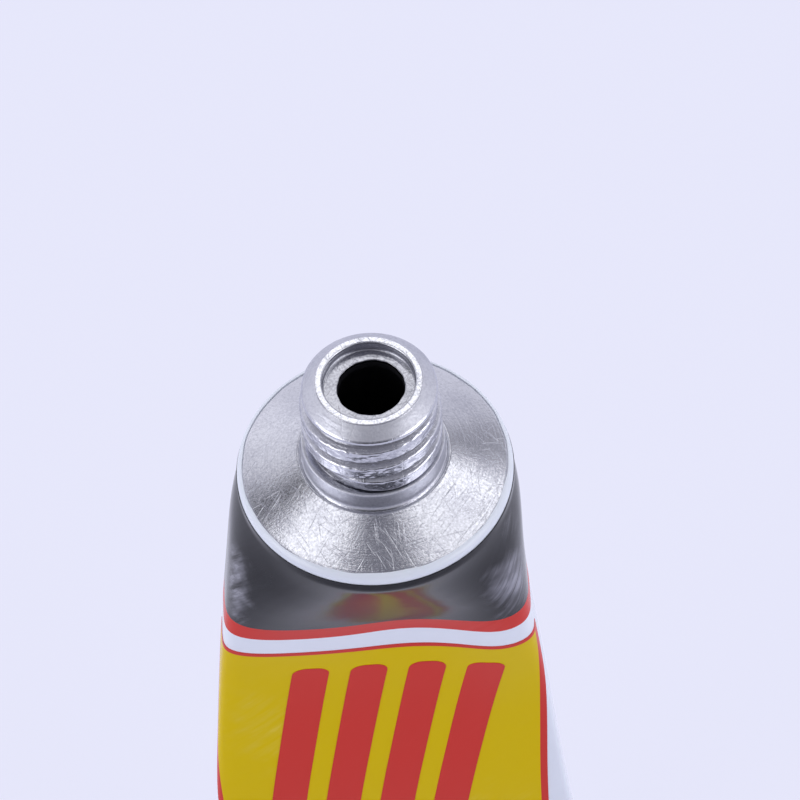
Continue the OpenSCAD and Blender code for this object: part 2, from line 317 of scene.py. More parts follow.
@dataclass(frozen=True)
class DullAluminium(Finish):
    """Annealed aluminium inside the tube: matt grey, with no polish left from the press."""

    name: str = "annealed_aluminium"
    colour: str = "#3c3c40"
    pale_colour: str = "#56565c"
    roughness: float = 0.55
    cloud_size: float = 0.8

    def sockets(self, add: Adder, place: bpy.types.Node) -> dict[str, Any]:
        """Blend two greys."""
        tint = clouded(add, place, self.cloud_size, 4.0, self.colour, self.pale_colour)
        return {"Metallic": 1.0, "Roughness": self.roughness, "Base Color": tint}


@dataclass(frozen=True)
class StoveEnamel(Finish):
    """White stove enamel, rolled on and baked: glossy, with a faint orange peel."""

    name: str = "white_stove_enamel"
    colour: str = "#ecf2fa"
    aged_colour: str = "#dfe4ee"
    roughness: float = 0.24
    ior: float = 1.5
    peel_size: float = 0.55
    peel_relief: float = 0.006
    cloud_size: float = 5.0

    def sockets(self, add: Adder, place: bpy.types.Node) -> dict[str, Any]:
        """Blend two whites, and raise the orange peel.

        Args:
            add: Adds a node to the material.
            place: Coordinates in millimetres.

        Returns:
            Values of the shader's sockets.
        """
        tint = clouded(add, place, self.cloud_size, 3.0, self.colour, self.aged_colour)
        peel = add("ShaderNodeTexNoise", inputs={
            "Vector": place, "Scale": 1 / self.peel_size, "Detail": 1.0})
        bump = add("ShaderNodeBump", inputs={"Distance": self.peel_relief * MM, "Height": peel})
        return {"Roughness": self.roughness, "IOR": self.ior, "Base Color": tint, "Normal": bump}


@dataclass(frozen=True)
class RubAndHighlight:
    """A pale patch on a print, for rubbed wear and for painted highlight: place on the wall, reach
    and strength.
    """

    across: float
    up: float
    reach: Point
    wear_and_highlight: float


@dataclass(frozen=True)
class PrintInk(Finish):
    """Offset printing ink under varnish: even and glossy, rubbed pale where it was handled and pale
    where a highlight is painted.
    """

    name: str
    colour: str
    rubbed_and_highlight_colour: str
    roughness: float = 0.18
    ior: float = 1.45
    # Varnish sunk into the ink leaves less gloss than a clear film has
    gloss_level: float = 0.2
    rubs_and_highlights: tuple[RubAndHighlight, ...] = ()
    # Rubbing marks and painted highlight streaks run slantwise, about a third of a millimetre wide
    rub_width: float = 0.34
    rub_length: float = 3.4
    rub_turn: float = 0.5
    rub_falloff: float = 0.6
    rub_span: Point = (0.34, 0.66)
    rub_roughness: float = 0.3
    # How far clouds fray a rub's edge, and the shares of that where the rub is full and ends
    rub_fray: float = 1.6
    fray_ends: Point = (0.3, 0.5)
    # The wall is rolled flat about a line near its back
    fan_pivot: float = 6.0
    fan_radius: float = 9.0
    stray_worn: float = 0.03
    cloud_size: float = 1.6
    speck_size: float = 0.13
    speck_roughness: float = 0.05
    ripple_size: float = 2.6
    ripple_relief: float = 0.02

    def sockets(self, add: Adder, place: bpy.types.Node) -> dict[str, Any]:
        """Draw rubbed streaks, painted highlight streaks and a faint ripple.

        Args:
            add: Adds a node to the material.
            place: Coordinates in millimetres.

        Returns:
            Values of the shader's sockets.
        """
        spot = add("ShaderNodeSeparateXYZ", place).outputs
        ahead = add("ShaderNodeMath", self.fan_pivot, spot["Y"], operation="SUBTRACT")
        angle = add("ShaderNodeMath", spot["X"], ahead, operation="ARCTAN2")
        across = add("ShaderNodeMath", angle, self.fan_radius, operation="MULTIPLY")
        sheet = add("ShaderNodeCombineXYZ", inputs={"X": across, "Z": spot["Z"]})
        slant = add("ShaderNodeMapping", vector_type="TEXTURE", inputs={
            "Vector": sheet, "Rotation": (0, self.rub_turn, 0),
            "Scale": (self.rub_width, 1.0, self.rub_length)})
        streaks = add("ShaderNodeTexNoise", inputs={
            "Vector": slant, "Scale": 1.0, "Detail": 3.0, "Roughness": self.rub_falloff})
        cloud = add("ShaderNodeTexNoise", inputs={
            "Vector": place, "Scale": 1 / self.cloud_size, "Detail": 2.0})
        patch = add("ShaderNodeMath", cloud, self.stray_worn, operation="MULTIPLY")
        full, end = (share * self.rub_fray for share in self.fray_ends)
        # Each patch pales the ink: rubbed wear, and on the black ink also a painted highlight
        for rub_and_highlight in self.rubs_and_highlights:
            own = add("ShaderNodeMapping", vector_type="TEXTURE", inputs={
                "Vector": sheet, "Location": (rub_and_highlight.across, 0, rub_and_highlight.up),
                "Scale": (rub_and_highlight.reach[0], 1.0, rub_and_highlight.reach[1])})
            away = add("ShaderNodeVectorMath", own, operation="LENGTH").outputs["Value"]
            frayed = add("ShaderNodeMath", cloud, self.rub_fray, away, operation="MULTIPLY_ADD")
            near = add("ShaderNodeMapRange", frayed, full, 1 + end, rub_and_highlight.wear_and_highlight, 0.0,
                       interpolation_type="SMOOTHSTEP")
            patch = add("ShaderNodeMath", patch, near, operation="MAXIMUM")
        line = add("ShaderNodeMapRange", streaks, *self.rub_span)
        rub_and_highlight_mask = add("ShaderNodeMath", patch, line, operation="MULTIPLY")
        tint = add("ShaderNodeMix", rub_and_highlight_mask, data_type="RGBA", inputs={
            6: linear(self.colour), 7: linear(self.rubbed_and_highlight_colour)}).outputs[2]
        speck = add("ShaderNodeTexNoise", inputs={"Vector": place, "Scale": 1 / self.speck_size})
        matt = add("ShaderNodeMath", rub_and_highlight_mask, self.rub_roughness, self.roughness,
                   operation="MULTIPLY_ADD")
        rough = add("ShaderNodeMath", speck, self.speck_roughness, matt, operation="MULTIPLY_ADD")
        ripple = add("ShaderNodeTexNoise", inputs={
            "Vector": place, "Scale": 1 / self.ripple_size, "Detail": 1.0})
        bump = add("ShaderNodeBump", inputs={"Distance": self.ripple_relief * MM, "Height": ripple})
        return {"IOR": self.ior, "Specular IOR Level": self.gloss_level, "Base Color": tint,
                "Roughness": rough, "Normal": bump}


@dataclass(frozen=True)
class LatexSeal(Finish):
    """Dried latex sealing strip: matt, tan and slightly lumpy."""

    name: str = "latex_sealant"
    colour: str = "#c9ab7c"
    dark_colour: str = "#a98a5c"
    roughness: float = 0.6
    lump_size: float = 0.3

    def sockets(self, add: Adder, place: bpy.types.Node) -> dict[str, Any]:
        """Blend two tans."""
        tint = clouded(add, place, self.lump_size, 3.0, self.dark_colour, self.colour)
        return {"Roughness": self.roughness, "Base Color": tint}


@dataclass(frozen=True)
class ClearAdhesive(Finish):
    """Instant adhesive: a thin clear liquid, as bright as acrylic glass."""

    name: str = "clear_instant_adhesive"
    colour: str = "#d9d4c4"
    thick_colour: str = "#c7c1ae"
    roughness: float = 0.02
    ior: float = 1.45
    cloud_size: float = 6.0

    def sockets(self, add: Adder, place: bpy.types.Node) -> dict[str, Any]:
        """Blend two tints of a clear liquid."""
        tint = clouded(add, place, self.cloud_size, 2.0, self.colour, self.thick_colour)
        return {"Roughness": self.roughness, "IOR": self.ior, "Transmission Weight": 1.0,
                "Base Color": tint}


@dataclass(frozen=True)
class Finishes:
    """Every material of the tube, made once."""

    aluminium: bpy.types.Material
    inside: bpy.types.Material
    enamel: bpy.types.Material
    black: bpy.types.Material
    red: bpy.types.Material
    yellow: bpy.types.Material
    latex: bpy.types.Material
    adhesive: bpy.types.Material

    @classmethod
    def make(cls) -> "Finishes":
        """Build all the materials.

        Returns:
            The finished set.
        """
        # On the black ink the patch at the left is a painted highlight, a pale streak of painted
        # reflection along the side; the patch at the right is scuffed wear
        black_rubs_and_highlights = RubAndHighlight(5.6, 41.4, (2.2, 4.4), 1.0), RubAndHighlight(-6.3, 41.2, (1.3, 4.6), 1.0)
        red_rubs = (RubAndHighlight(4.6, 37.2, (2.0, 2.0), 0.3),)
        yellow_rubs = RubAndHighlight(-6.4, 26.0, (2.4, 7.0), 0.35), RubAndHighlight(5.0, 13.0, (3.0, 6.0), 0.3)
        return cls(
            aluminium=TurnedAluminium().material(),
            inside=DullAluminium().material(),
            enamel=StoveEnamel().material(),
            black=PrintInk("black_gloss_ink", "#1b1b20", "#b0b0bc", roughness=0.1,
                           gloss_level=0.12, rubs_and_highlights=black_rubs_and_highlights).material(),
            red=PrintInk("red_gloss_ink", "#d23b33", "#e0605c",
                         gloss_level=0.03, rubs_and_highlights=red_rubs).material(),
            yellow=PrintInk("yellow_gloss_ink", "#dcbe00", "#e6d060",
                            gloss_level=0.02, rubs_and_highlights=yellow_rubs).material(),
            latex=LatexSeal().material(),
            adhesive=ClearAdhesive().material(),
        )


def grid_faces(rows: int, columns: int, closed: bool, first: int = 0,
               inside_out: bool = False) -> np.ndarray:
    """Make the four-cornered faces of a grid of points.

    Args:
        rows: Number of rows of points, from the top down.
        columns: Number of points in a row, from left to right seen from outside.
        closed: Whether the last column joins the first.
        first: Number of the grid's first point.
        inside_out: Whether the faces are seen from the other side.

    Returns:
        An array with four point numbers a face.
    """
    across = np.arange(columns if closed else columns - 1)
    down = np.arange(rows - 1)[:, None]
    here = first + down * columns + across
    beside = first + down * columns + (across + 1) % columns
    faces = np.stack([here, here + columns, beside + columns, beside], axis=-1).reshape(-1, 4)
    return faces[:, ::-1] if inside_out else faces


def capped_faces(rows: int, columns: int, inside_out: bool = False) -> list[list[int]]:
    """Make the faces of a closed bar, with a cap at each end.

    Args:
        rows: Number of rings of points.
        columns: Number of points in a ring.
        inside_out: Whether the faces are seen from the other side.

    Returns:
        Point numbers of each face, with the two caps last.
    """
    first, last = range(columns), range((rows - 1) * columns, rows * columns)
    caps = [first[::-1], last] if inside_out else [first, last[::-1]]
    return [list(face) for face in (*grid_faces(rows, columns, True, 0, inside_out), *caps)]


def mesh_object(name: str, points: np.ndarray, faces: Sequence[Sequence[int]],
                material: bpy.types.Material, sharp_degrees: float = 40.0) -> bpy.types.Object:
    """Make an object at the origin from points in millimetres.

    Args:
        name: The piece's plain name.
        points: Points as rows of x, y and z.
        faces: Point numbers of each face, seen anticlockwise from outside.
        material: The piece's finish.
        sharp_degrees: Angle from which an edge is drawn sharp.

    Returns:
        The new object, linked to the scene.
    """
    mesh = bpy.data.meshes.new(name)
    corners = [list(map(int, face)) for face in faces]
    mesh.from_pydata((points.reshape(-1, 3) * MM).tolist(), [], corners)
    mesh.materials.append(material)
    mesh.shade_smooth()
    mesh.set_sharp_from_angle(angle=math.radians(sharp_degrees))
    mesh.update()
    piece = bpy.data.objects.new(name, mesh)
    bpy.context.scene.collection.objects.link(piece)
    return piece


def store(piece: bpy.types.Object, name: str, values: np.ndarray, domain: str = "POINT") -> None:
    """Keep one number for each point or face as a named attribute."""
    attribute = piece.data.attributes.new(name, "FLOAT", domain)
    attribute.data.foreach_set("value", values.astype(np.float32).ravel())


def waves(turn: np.ndarray, parts: Sequence[tuple[int, float, float]]) -> np.ndarray:
    """Add up waves round a circle, each with its count, height and start."""
    return sum(height * np.sin(count * turn + start) for count, height, start in parts)


def seat(piece: bpy.types.Object, body: Body, slot: Slot, *nodes: str) -> None:
    """Fix a finished piece to its body and hide the solids that it stands for.

    Args:
        piece: The finished piece.
        body: The body that carries it.
        slot: The record's slot of its finish; not used.
        nodes: The solids that it replaces.
    """
    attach(piece, body.value)
    if nodes:
        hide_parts(*nodes)
    LOG.info("%s: %d faces on body %s", piece.name, len(piece.data.polygons), body.value)


@dataclass
class NodeTree:
    """A geometry tree with named inputs, whose result becomes a plain mesh."""

    name: str
    sizes: dict[str, float]
    finishes: dict[str, bpy.types.Material]

    def __post_init__(self) -> None:
        """Make the tree's sockets and its input node."""
        self.tree = bpy.data.node_groups.new(self.name, "GeometryNodeTree")
        self.add: Adder = partial(add_node, self.tree)
        sockets = self.tree.interface
        for way in ("INPUT", "OUTPUT"):
            sockets.new_socket("Geometry", in_out=way, socket_type="NodeSocketGeometry")
        self.values: dict[str, Any] = {}
        for kind, group in (("NodeSocketFloat", self.sizes),
                            ("NodeSocketMaterial", self.finishes)):
            for name, value in group.items():
                socket = sockets.new_socket(name, in_out="INPUT", socket_type=kind)
                self.values[socket.identifier] = value
        self.inputs = self.add("NodeGroupInput").outputs

    def close(self, shape: bpy.types.Node, whole: str, part: str, attribute: str) -> None:
        """End the tree with real geometry and its finishes.

        Args:
            shape: The node that gives the shape.
            whole: Name of the finish for every face.
            part: Name of the finish for the faces marked by an attribute.
            attribute: Name of that attribute.
        """
        real = self.add("GeometryNodeRealizeInstances", shape)
        dressed = self.add("GeometryNodeSetMaterial", real,
                           inputs={"Material": self.inputs[whole]})
        marked = self.add("GeometryNodeInputNamedAttribute", attribute, data_type="FLOAT")
        chosen = self.add("FunctionNodeCompare", marked, 0.5,
                          data_type="FLOAT", operation="GREATER_THAN")
        trimmed = self.add("GeometryNodeSetMaterial", dressed,
                           inputs={"Selection": chosen, "Material": self.inputs[part]})
        self.add("NodeGroupOutput", trimmed)

    def apply(self, piece: bpy.types.Object) -> None:
        """Run the tree on a piece and keep the result as its mesh.

        Args:
            piece: The piece that gets the new mesh.
        """
        modifier = piece.modifiers.new(self.name, "NODES")
        modifier.node_group = self.tree
        for identifier, value in self.values.items():
            modifier[identifier] = value
        graph = bpy.context.evaluated_depsgraph_get()
        mesh = bpy.data.meshes.new_from_object(
            piece.evaluated_get(graph), preserve_all_data_layers=True, depsgraph=graph)
        piece.modifiers.remove(modifier)
        plain, piece.data = piece.data, mesh
        bpy.data.meshes.remove(plain)
        mesh.name = piece.name


@dataclass(frozen=True)
class Press:
    """A place where a finger pushed the front wall in, or out where its depth is negative."""

    place: float
    down: float
    across: float
    along: float
    depth: float


@dataclass(frozen=True)
class SleeveShape:
    """The foil wall, round at the shoulder and flat at the foot, with an unstretched girth."""

    tube_r: float = 6.7
    foil_t: float = 0.12
    shoulder_z: float = 47.0
    rim_h: float = 0.6
    wall_h: float = 41.1
    foot_half: float = 0.22
    front_dent: float = 0.32
    back_swell: float = 0.2
    dent_skew: float = 0.6
    swell_skew: float = 0.8
    front_shift: float = 0.1
    squaring: float = 0.3
    round_power: float = 2.0
    flat_front_power: float = 5.6
    flat_back_power: float = 2.2
    # A thumb dent in the middle of the front, and the corner that it pushed out beside it
    presses: tuple[Press, ...] = (
        Press(1.4, 10.0, 2.6, 3.4, 0.3), Press(6.4, 12.0, 2.2, 7.0, -0.45))
    # The squeezed wall leans sideways, most between these two depths
    lean: float = -0.42
    lean_full: Point = (12.0, 26.0)
    outline_steps: int = 200
    solve_steps: int = 30
    girth_slack: float = 0.02

    @property
    def girth(self) -> float:
        """Length round the wall, a hair short so that the foot stays in the solids' box."""
        return 2 * math.pi * self.tube_r - self.girth_slack

    @property
    def foot_down(self) -> float:
        """Distance from the shoulder edge down to the wall's foot."""
        return self.rim_h + self.wall_h

    def hump(self, share: float, skew: float) -> float:
        """Rise from none to one and back along the wall."""
        return math.sin(math.pi * share ** skew) ** 2

    def outline(self, down: float, half_w: float, off: float) -> np.ndarray:
        """Half a section, from the middle of the front to the middle of the back.

        Args:
            down: Distance from the shoulder edge down.
            half_w: Half the section's width.
            off: Distance from the foil's outer face.

        Returns:
            Rows of x and y.
        """
        share = min(1.0, max(0.0, (down - self.rim_h) / self.wall_h))
        wedge = self.tube_r * (1 - share) + self.foot_half * share
        dent, swell = self.hump(share, self.dent_skew), self.hump(share, self.swell_skew)
        shift = self.front_shift * self.tube_r * dent
        front = wedge - self.front_dent * self.tube_r * dent - shift
        back = wedge + self.back_swell * self.tube_r * swell + shift
        ease = math.sin(math.pi / 2 * min(1.0, share / self.squaring)) ** 2
        turn = np.linspace(0, math.pi, self.outline_steps + 1)
        cosine = np.cos(turn)
        facing = cosine > 0
        flat_power = np.where(facing, self.flat_front_power, self.flat_back_power)
        power = self.round_power + (flat_power - self.round_power) * ease
        deep = np.where(facing, front, back) + off
        x = (half_w + off) * np.abs(np.sin(turn)) ** (2 / power)
        y = -shift - deep * np.sign(cosine) * np.abs(cosine) ** (2 / power)
        return np.stack([x, y], axis=-1)

    def lengths(self, outline: np.ndarray) -> np.ndarray:
        """Length along an outline to each of its points."""
        steps = np.linalg.norm(np.diff(outline, axis=0), axis=1)
        return np.concatenate([[0.0], np.cumsum(steps)])

    def half_width(self, down: float) -> float:
        """Find half the width of a section whose girth is the tube's own.

        Args:
            down: Distance from the shoulder edge down.

        Returns:
            Half the width.
        """
        low, high = 0.0, 2 * self.tube_r
        for _ in range(self.solve_steps):
            middle = (low + high) / 2
            if self.lengths(self.outline(down, middle, 0.0))[-1] > self.girth / 2:
                high = middle
            else:
                low = middle
        return (low + high) / 2

    def pressed(self, places: np.ndarray, down: float) -> np.ndarray:
        """Depth of all the presses at places along the girth."""
        return sum(p.depth * np.exp(-((places - p.place) / p.across) ** 2
                                    - ((down - p.down) / p.along) ** 2) for p in self.presses)

    def sideways(self, down: float) -> float:
        """Sideways lean of the wall, none at the rim and at the foot.

        Args:
            down: Distance from the shoulder edge down.

        Returns:
            The lean, positive towards +X.
        """
        stops = (self.rim_h, *self.lean_full, self.foot_down)
        share = float(np.interp(down, stops, (0.0, 1.0, 1.0, 0.0)))
        return self.lean * math.sin(math.pi / 2 * share)

    def row(self, down: float, places: np.ndarray, off: float) -> np.ndarray:
        """Points of the wall at one height.

        Args:
            down: Distance from the shoulder edge down.
            places: Girth from the middle of the front, positive towards +X.
            off: Distance from the foil's outer face.

        Returns:
            Rows of x, y and z.
        """
        half_w = self.half_width(down)
        measure = self.lengths(self.outline(down, half_w, 0.0))
        line = self.outline(down, half_w, off)
        x = np.sign(places) * np.interp(np.abs(places), measure, line[:, 0])
        y = np.interp(np.abs(places), measure, line[:, 1]) + self.pressed(places, down)
        z = np.full_like(x, self.shoulder_z - down)
        return np.stack([x + self.sideways(down), y, z], axis=-1)

    def ring_places(self, columns: int) -> np.ndarray:
        """Places right round the girth."""
        return self.girth * (np.arange(columns) / columns - 0.5)

    def downs(self, start: float, end: float, step: float) -> np.ndarray:
        """Space rows evenly down the wall, with the rim's foot among them.

        Args:
            start: Distance from the shoulder edge down to the first row.
            end: The same to the last row.
            step: Largest step between rows.

        Returns:
            Distances of the rows.
        """
        rows = np.linspace(start, end, max(2, math.ceil((end - start) / step) + 1))
        if start < self.rim_h < end:
            rows = np.unique(np.concatenate([rows, [self.rim_h]]))
        return rows


@dataclass
class WallShell:
    """A closed thin shell on the wall, right round it or over a patch of its front."""

    shape: SleeveShape
    name: str
    inner: float
    outer: float
    columns: int = 240

    def ring(self, downs: np.ndarray, material: bpy.types.Material,
             tail: Optional[Callable[[float], list[np.ndarray]]] = None) -> bpy.types.Object:
        """Build a shell right round the wall.

        Args:
            downs: Distances of its rows from the shoulder edge.
            material: Its finish.
            tail: Gives the extra rows under the foot for an offset.

        Returns:
            The new object.
        """
        places = self.shape.ring_places(self.columns)
        layers = []
        for off in (self.outer, self.inner):
            rows = [self.shape.row(d, places, off) for d in downs]
            layers.append(np.stack(rows + (tail(off) if tail else [])))
        return self.closed(np.stack(layers), True, material)

    def patch(self, downs: np.ndarray, lefts: Any, rights: Any, columns: int,
              material: bpy.types.Material) -> bpy.types.Object:
        """Build a shell over a patch of the front.

        Args:
            downs: Distances of its rows from the shoulder edge.
            lefts: Girth from the front's middle to its left edge, one for all or for each row.
            rights: The same to its right edge.
            columns: Number of points in a row.
            material: Its finish.

        Returns:
            The new object.
        """
        shares = np.linspace(0, 1, columns)
        edges = [np.broadcast_to(edge, len(downs)) for edge in (lefts, rights)]
        layers = [[self.shape.row(d, a + (b - a) * shares, off) for d, a, b in zip(downs, *edges)]
                  for off in (self.outer, self.inner)]
        return self.closed(np.array(layers), False, material)

    def closed(self, layers: np.ndarray, ring: bool,
               material: bpy.types.Material) -> bpy.types.Object:
        """Join an outer and an inner grid into one closed mesh.

        Args:
            layers: The outer and the inner grid.
            ring: Whether the grids run right round.
            material: The shell's finish.

        Returns:
            The new object.
        """
        rows, columns = layers.shape[1:3]
        back = rows * columns
        faces = [grid_faces(rows, columns, ring), grid_faces(rows, columns, ring, back, True)]
        edges = [(np.arange(columns), ring, True),
                 (np.arange(columns) + (rows - 1) * columns, ring, False)]
        if not ring:
            edges += [(np.arange(rows) * columns, False, False),
                      (np.arange(rows) * columns + columns - 1, False, True)]
        for edge, looped, flip in edges:
            pair = np.concatenate([edge, edge + back])
            faces.append(pair[grid_faces(2, len(edge), looped, 0, flip)])
        return mesh_object(self.name, layers, np.concatenate(faces), material)


@dataclass
class TubeHead:
    """The thick shoulder with its collar, rolled thread, mouth recess and pierced spout."""

    shape: SleeveShape
    finishes: Finishes
    edge_r: float = 0.45
    slope: float = math.radians(20.6)
    shoulder_t: float = 0.7
    collar_r: float = 3.48
    collar_h: float = 1.1
    groove_w: float = 0.14
    groove_depth: float = 0.1
    neck_h: float = 4.6
    thread_r: float = 3.38
    thread_depth: float = 0.38
    thread_pitch: float = 1.3
    thread_turns: float = 2.6
    thread_rise: float = 0.12
    thread_start: float = math.radians(200)
    thread_fade: float = 0.12
    ridge_root_w: float = 1.22
    ridge_crest_w: float = 0.62
    ding_size: float = 0.3
    ding_depth: float = 0.16
    ding_span: Point = (0.5, 0.8)
    ding_seed: float = 5.0
    mouth_r: float = 2.58
    recess_r: float = 2.22
    recess_depth: float = 0.56
    membrane_t: float = 0.56
    spout_r: float = 1.6
    spout_offset: float = 0.08
    channel_r: float = 2.1
    lip_r: float = 3.25
    lip_drop: float = 0.62
    lip_nose: float = 0.2
    corner: float = 0.07
    # Shares of the corner's radius and the nose's that ease the mouth, the spout and the lip
    mouth_ease: float = 0.8
    spout_ease: float = 0.6
    nose_ease: float = 0.4
    # Shares of the way from the recess's wall to the spout where its floor has rows: the first,
    # the last and their count
    floor_rows: tuple[float, float, int] = (0.15, 0.88, 6)
    # Torn edge of the spout: its reach, and the count, height and start of each wave in it
    ragged: float = 0.022
    ragged_waves: tuple[tuple[int, float, float], ...] = (
        (2, 0.8, 0.4), (5, 0.6, 2.1), (11, 0.4, 4.0), (19, 0.25, 1.2))
    columns: int = 288
    barrel_step: float = 0.045
    sharp_degrees: float = 50.0

    @property
    def edge_end(self) -> Point:
        """Radius and height where the rounded edge meets the cone."""
        turn = math.pi / 2 - self.slope
        return (self.shape.tube_r - self.edge_r * (1 - math.cos(turn)),
                self.edge_r * math.sin(turn))

    def cone_z(self, radius: float) -> float:
        """Height of the shoulder cone over the shoulder edge."""
        end_r, end_z = self.edge_end
        return end_z + (end_r - radius) * math.tan(self.slope)

    @property
    def collar_top(self) -> float:
        """Height of the collar's top."""
        return self.cone_z(self.collar_r) + self.collar_h

    @property
    def mouth_z(self) -> float:
        """Height of the mouth's rim."""
        return self.collar_top + self.neck_h

    def arc(self, centre: Point, radius: float, start: float, end: float,
            steps: int) -> list[Point]:
        """Points of an arc in the plane of radius and height, angles in degrees."""
        turns = np.radians(np.linspace(start, end, steps + 1))
        return [(centre[0] + radius * math.cos(t), centre[1] + radius * math.sin(t))
                for t in turns]

    def run(self, start: Point, end: Point, steps: int) -> list[Point]:
        """Points of a straight stretch, without its last one."""
        shares = np.linspace(0, 1, steps, endpoint=False)
        return [(start[0] + (end[0] - start[0]) * s, start[1] + (end[1] - start[1]) * s)
                for s in shares]

    def profile(self) -> np.ndarray:
        """Outline of the plain turned blank.

        The last number of each arc and stretch is its count of steps.

        Returns:
            Rows of radius, height, share of the barrel, share of the spout's offset and
            inside mark.
        """
        tube_r, lip, rim_h = self.shape.tube_r, self.corner, self.shape.rim_h
        inner_r, root_r = tube_r - self.shape.foil_t, self.thread_r - self.thread_depth
        collar_r, recess_r, spout_r = self.collar_r, self.recess_r, self.spout_r
        groove_r, foot_z = collar_r + self.groove_w, self.cone_z(collar_r)
        top, mouth = self.collar_top, self.mouth_z
        lip_z, nose = mouth - self.lip_drop, self.lip_nose
        lip_foot = lip_z - (self.lip_r - root_r)
        bevel = math.degrees(math.atan2(self.lip_r - self.mouth_r, self.lip_drop))
        recess = mouth - self.recess_depth
        membrane = mouth - self.recess_depth - self.membrane_t
        torn = lip * self.spout_ease
        rows: list[tuple[float, float, float, float, float]] = []

        def extend(points: list[Point], barrel: float = 0, spout: float = 0,
                   inside: float = 0) -> None:
            """Add points with their marks."""
            rows.extend((r, z, barrel, spout, inside) for r, z in points)

        extend([(inner_r, -rim_h), (tube_r, -rim_h)])
        extend(self.arc((tube_r - self.edge_r, 0), self.edge_r,
                        0, 90 - math.degrees(self.slope), 10))
        extend(self.run(self.edge_end, (groove_r + lip, self.cone_z(groove_r + lip)), 24)[1:])
        for share in np.linspace(0, 1, 9):
            radius = groove_r + lip - (self.groove_w + lip) * share
            depth = self.groove_depth * math.sin(math.pi * share) ** 2
            extend([(radius, self.cone_z(radius) - depth)])
        extend(self.run((collar_r, foot_z), (collar_r, top - lip), 6)[1:])
        extend(self.arc((collar_r - lip, top - lip), lip, 0, 90, 5))
        extend(self.run((collar_r - lip, top), (root_r + lip, top), 6)[1:])
        extend(self.arc((root_r + lip, top + lip), lip, 270, 180, 4))
        barrel_rows = math.ceil((lip_foot - top - lip) / self.barrel_step)
        extend(self.run((root_r, top + lip), (root_r, lip_foot), barrel_rows)[1:], barrel=1)
        extend(self.run((root_r, lip_foot), (self.lip_r - nose, lip_z - nose), 4))
        nosed = self.arc((self.lip_r - nose, lip_z - nose * self.nose_ease), nose, -45, bevel, 7)
        extend(nosed)
        extend(self.run(nosed[-1], (self.mouth_r, mouth), 8)[1:-1])
        extend(self.arc((self.mouth_r - lip * self.mouth_ease, mouth - lip), lip, 40, 90, 4))
        extend(self.arc((recess_r + lip, mouth - lip), lip, 90, 180, 5))
        extend(self.run((recess_r, mouth - lip), (recess_r, recess + lip), 6)[1:])
        extend(self.arc((recess_r - lip, recess + lip), lip, 0, -90, 4))
        for share in np.linspace(*self.floor_rows):
            extend([(recess_r - lip - (recess_r - lip - spout_r) * share, recess)], spout=share)
        extend(self.arc((spout_r + torn, recess - torn), torn, 90, 180, 4), spout=1)
        extend(self.run((spout_r, recess - lip), (spout_r, membrane), 5)[1:], spout=1, inside=1)
        extend([(spout_r, membrane)], spout=1, inside=1)
        extend(self.run((spout_r, membrane), (self.channel_r, membrane), 3)[1:],
               spout=0.5, inside=1)
        foot = (self.channel_r, self.cone_z(self.channel_r) - self.shoulder_t)
        end = (inner_r, self.cone_z(inner_r) - self.shoulder_t)
        extend(self.run((self.channel_r, membrane), foot, 8), inside=1)
        extend(self.run(foot, end, 10), inside=1)
        extend([end], inside=1)
        return np.array(rows)

    def build(self) -> bpy.types.Object:
        """Turn the blank and roll the thread on its barrel.

        Returns:
            The finished head.
        """
        rows = self.profile()
        turn = np.linspace(0, 2 * math.pi, self.columns, endpoint=False)
        offset = rows[:, 3:4]
        radius = rows[:, :1] + self.ragged * waves(turn, self.ragged_waves) * offset
        points = np.stack([
            radius * np.cos(turn) + self.spout_offset * offset,
            radius * np.sin(turn),
            np.repeat(rows[:, 1:2] + self.shape.shoulder_z, self.columns, axis=1),
        ], axis=-1)
        count = len(rows)
        looped = grid_faces(count + 1, self.columns, True, 0, True) % (count * self.columns)
        head = mesh_object("threaded_head", points, looped, self.finishes.aluminium,
                           self.sharp_degrees)
        inside = np.minimum(rows[:, 4], np.roll(rows[:, 4], -1))
        store(head, "barrel", np.repeat(rows[:, 2], self.columns))
        store(head, "inside", np.repeat(inside, self.columns), "FACE")
        self.thread_tree().apply(head)
        head.data.set_sharp_from_angle(angle=math.radians(self.sharp_degrees))
        return head

    def thread_tree(self) -> NodeTree:
        """Build the tree that rolls a right-handed thread on the barrel.

        Returns:
            The tree with the thread's sizes as inputs.
        """
        start_z = self.shape.shoulder_z + self.collar_top + self.thread_rise
        tree = NodeTree(
            "rolled_thread",
            {"Thread depth": self.thread_depth * MM, "Pitch": self.thread_pitch * MM,
             "Turns": self.thread_turns, "First crest height": start_z * MM,
             "Start turn": self.thread_start, "Root width": self.ridge_root_w * MM,
             "Crest width": self.ridge_crest_w * MM, "Fade": self.thread_fade,
             "Ding size": self.ding_size * MM, "Ding depth": self.ding_depth,
             "Seed": self.ding_seed},
            {"Metal": self.finishes.aluminium, "Inside": self.finishes.inside})
        add, size = tree.add, tree.inputs
        place = add("GeometryNodeInputPosition")
        xyz = add("ShaderNodeSeparateXYZ", place).outputs
        known: dict[Any, Any] = {name: size[name] for name in tree.sizes}
        known.update({axis: xyz[axis] for axis in "XYZ"})
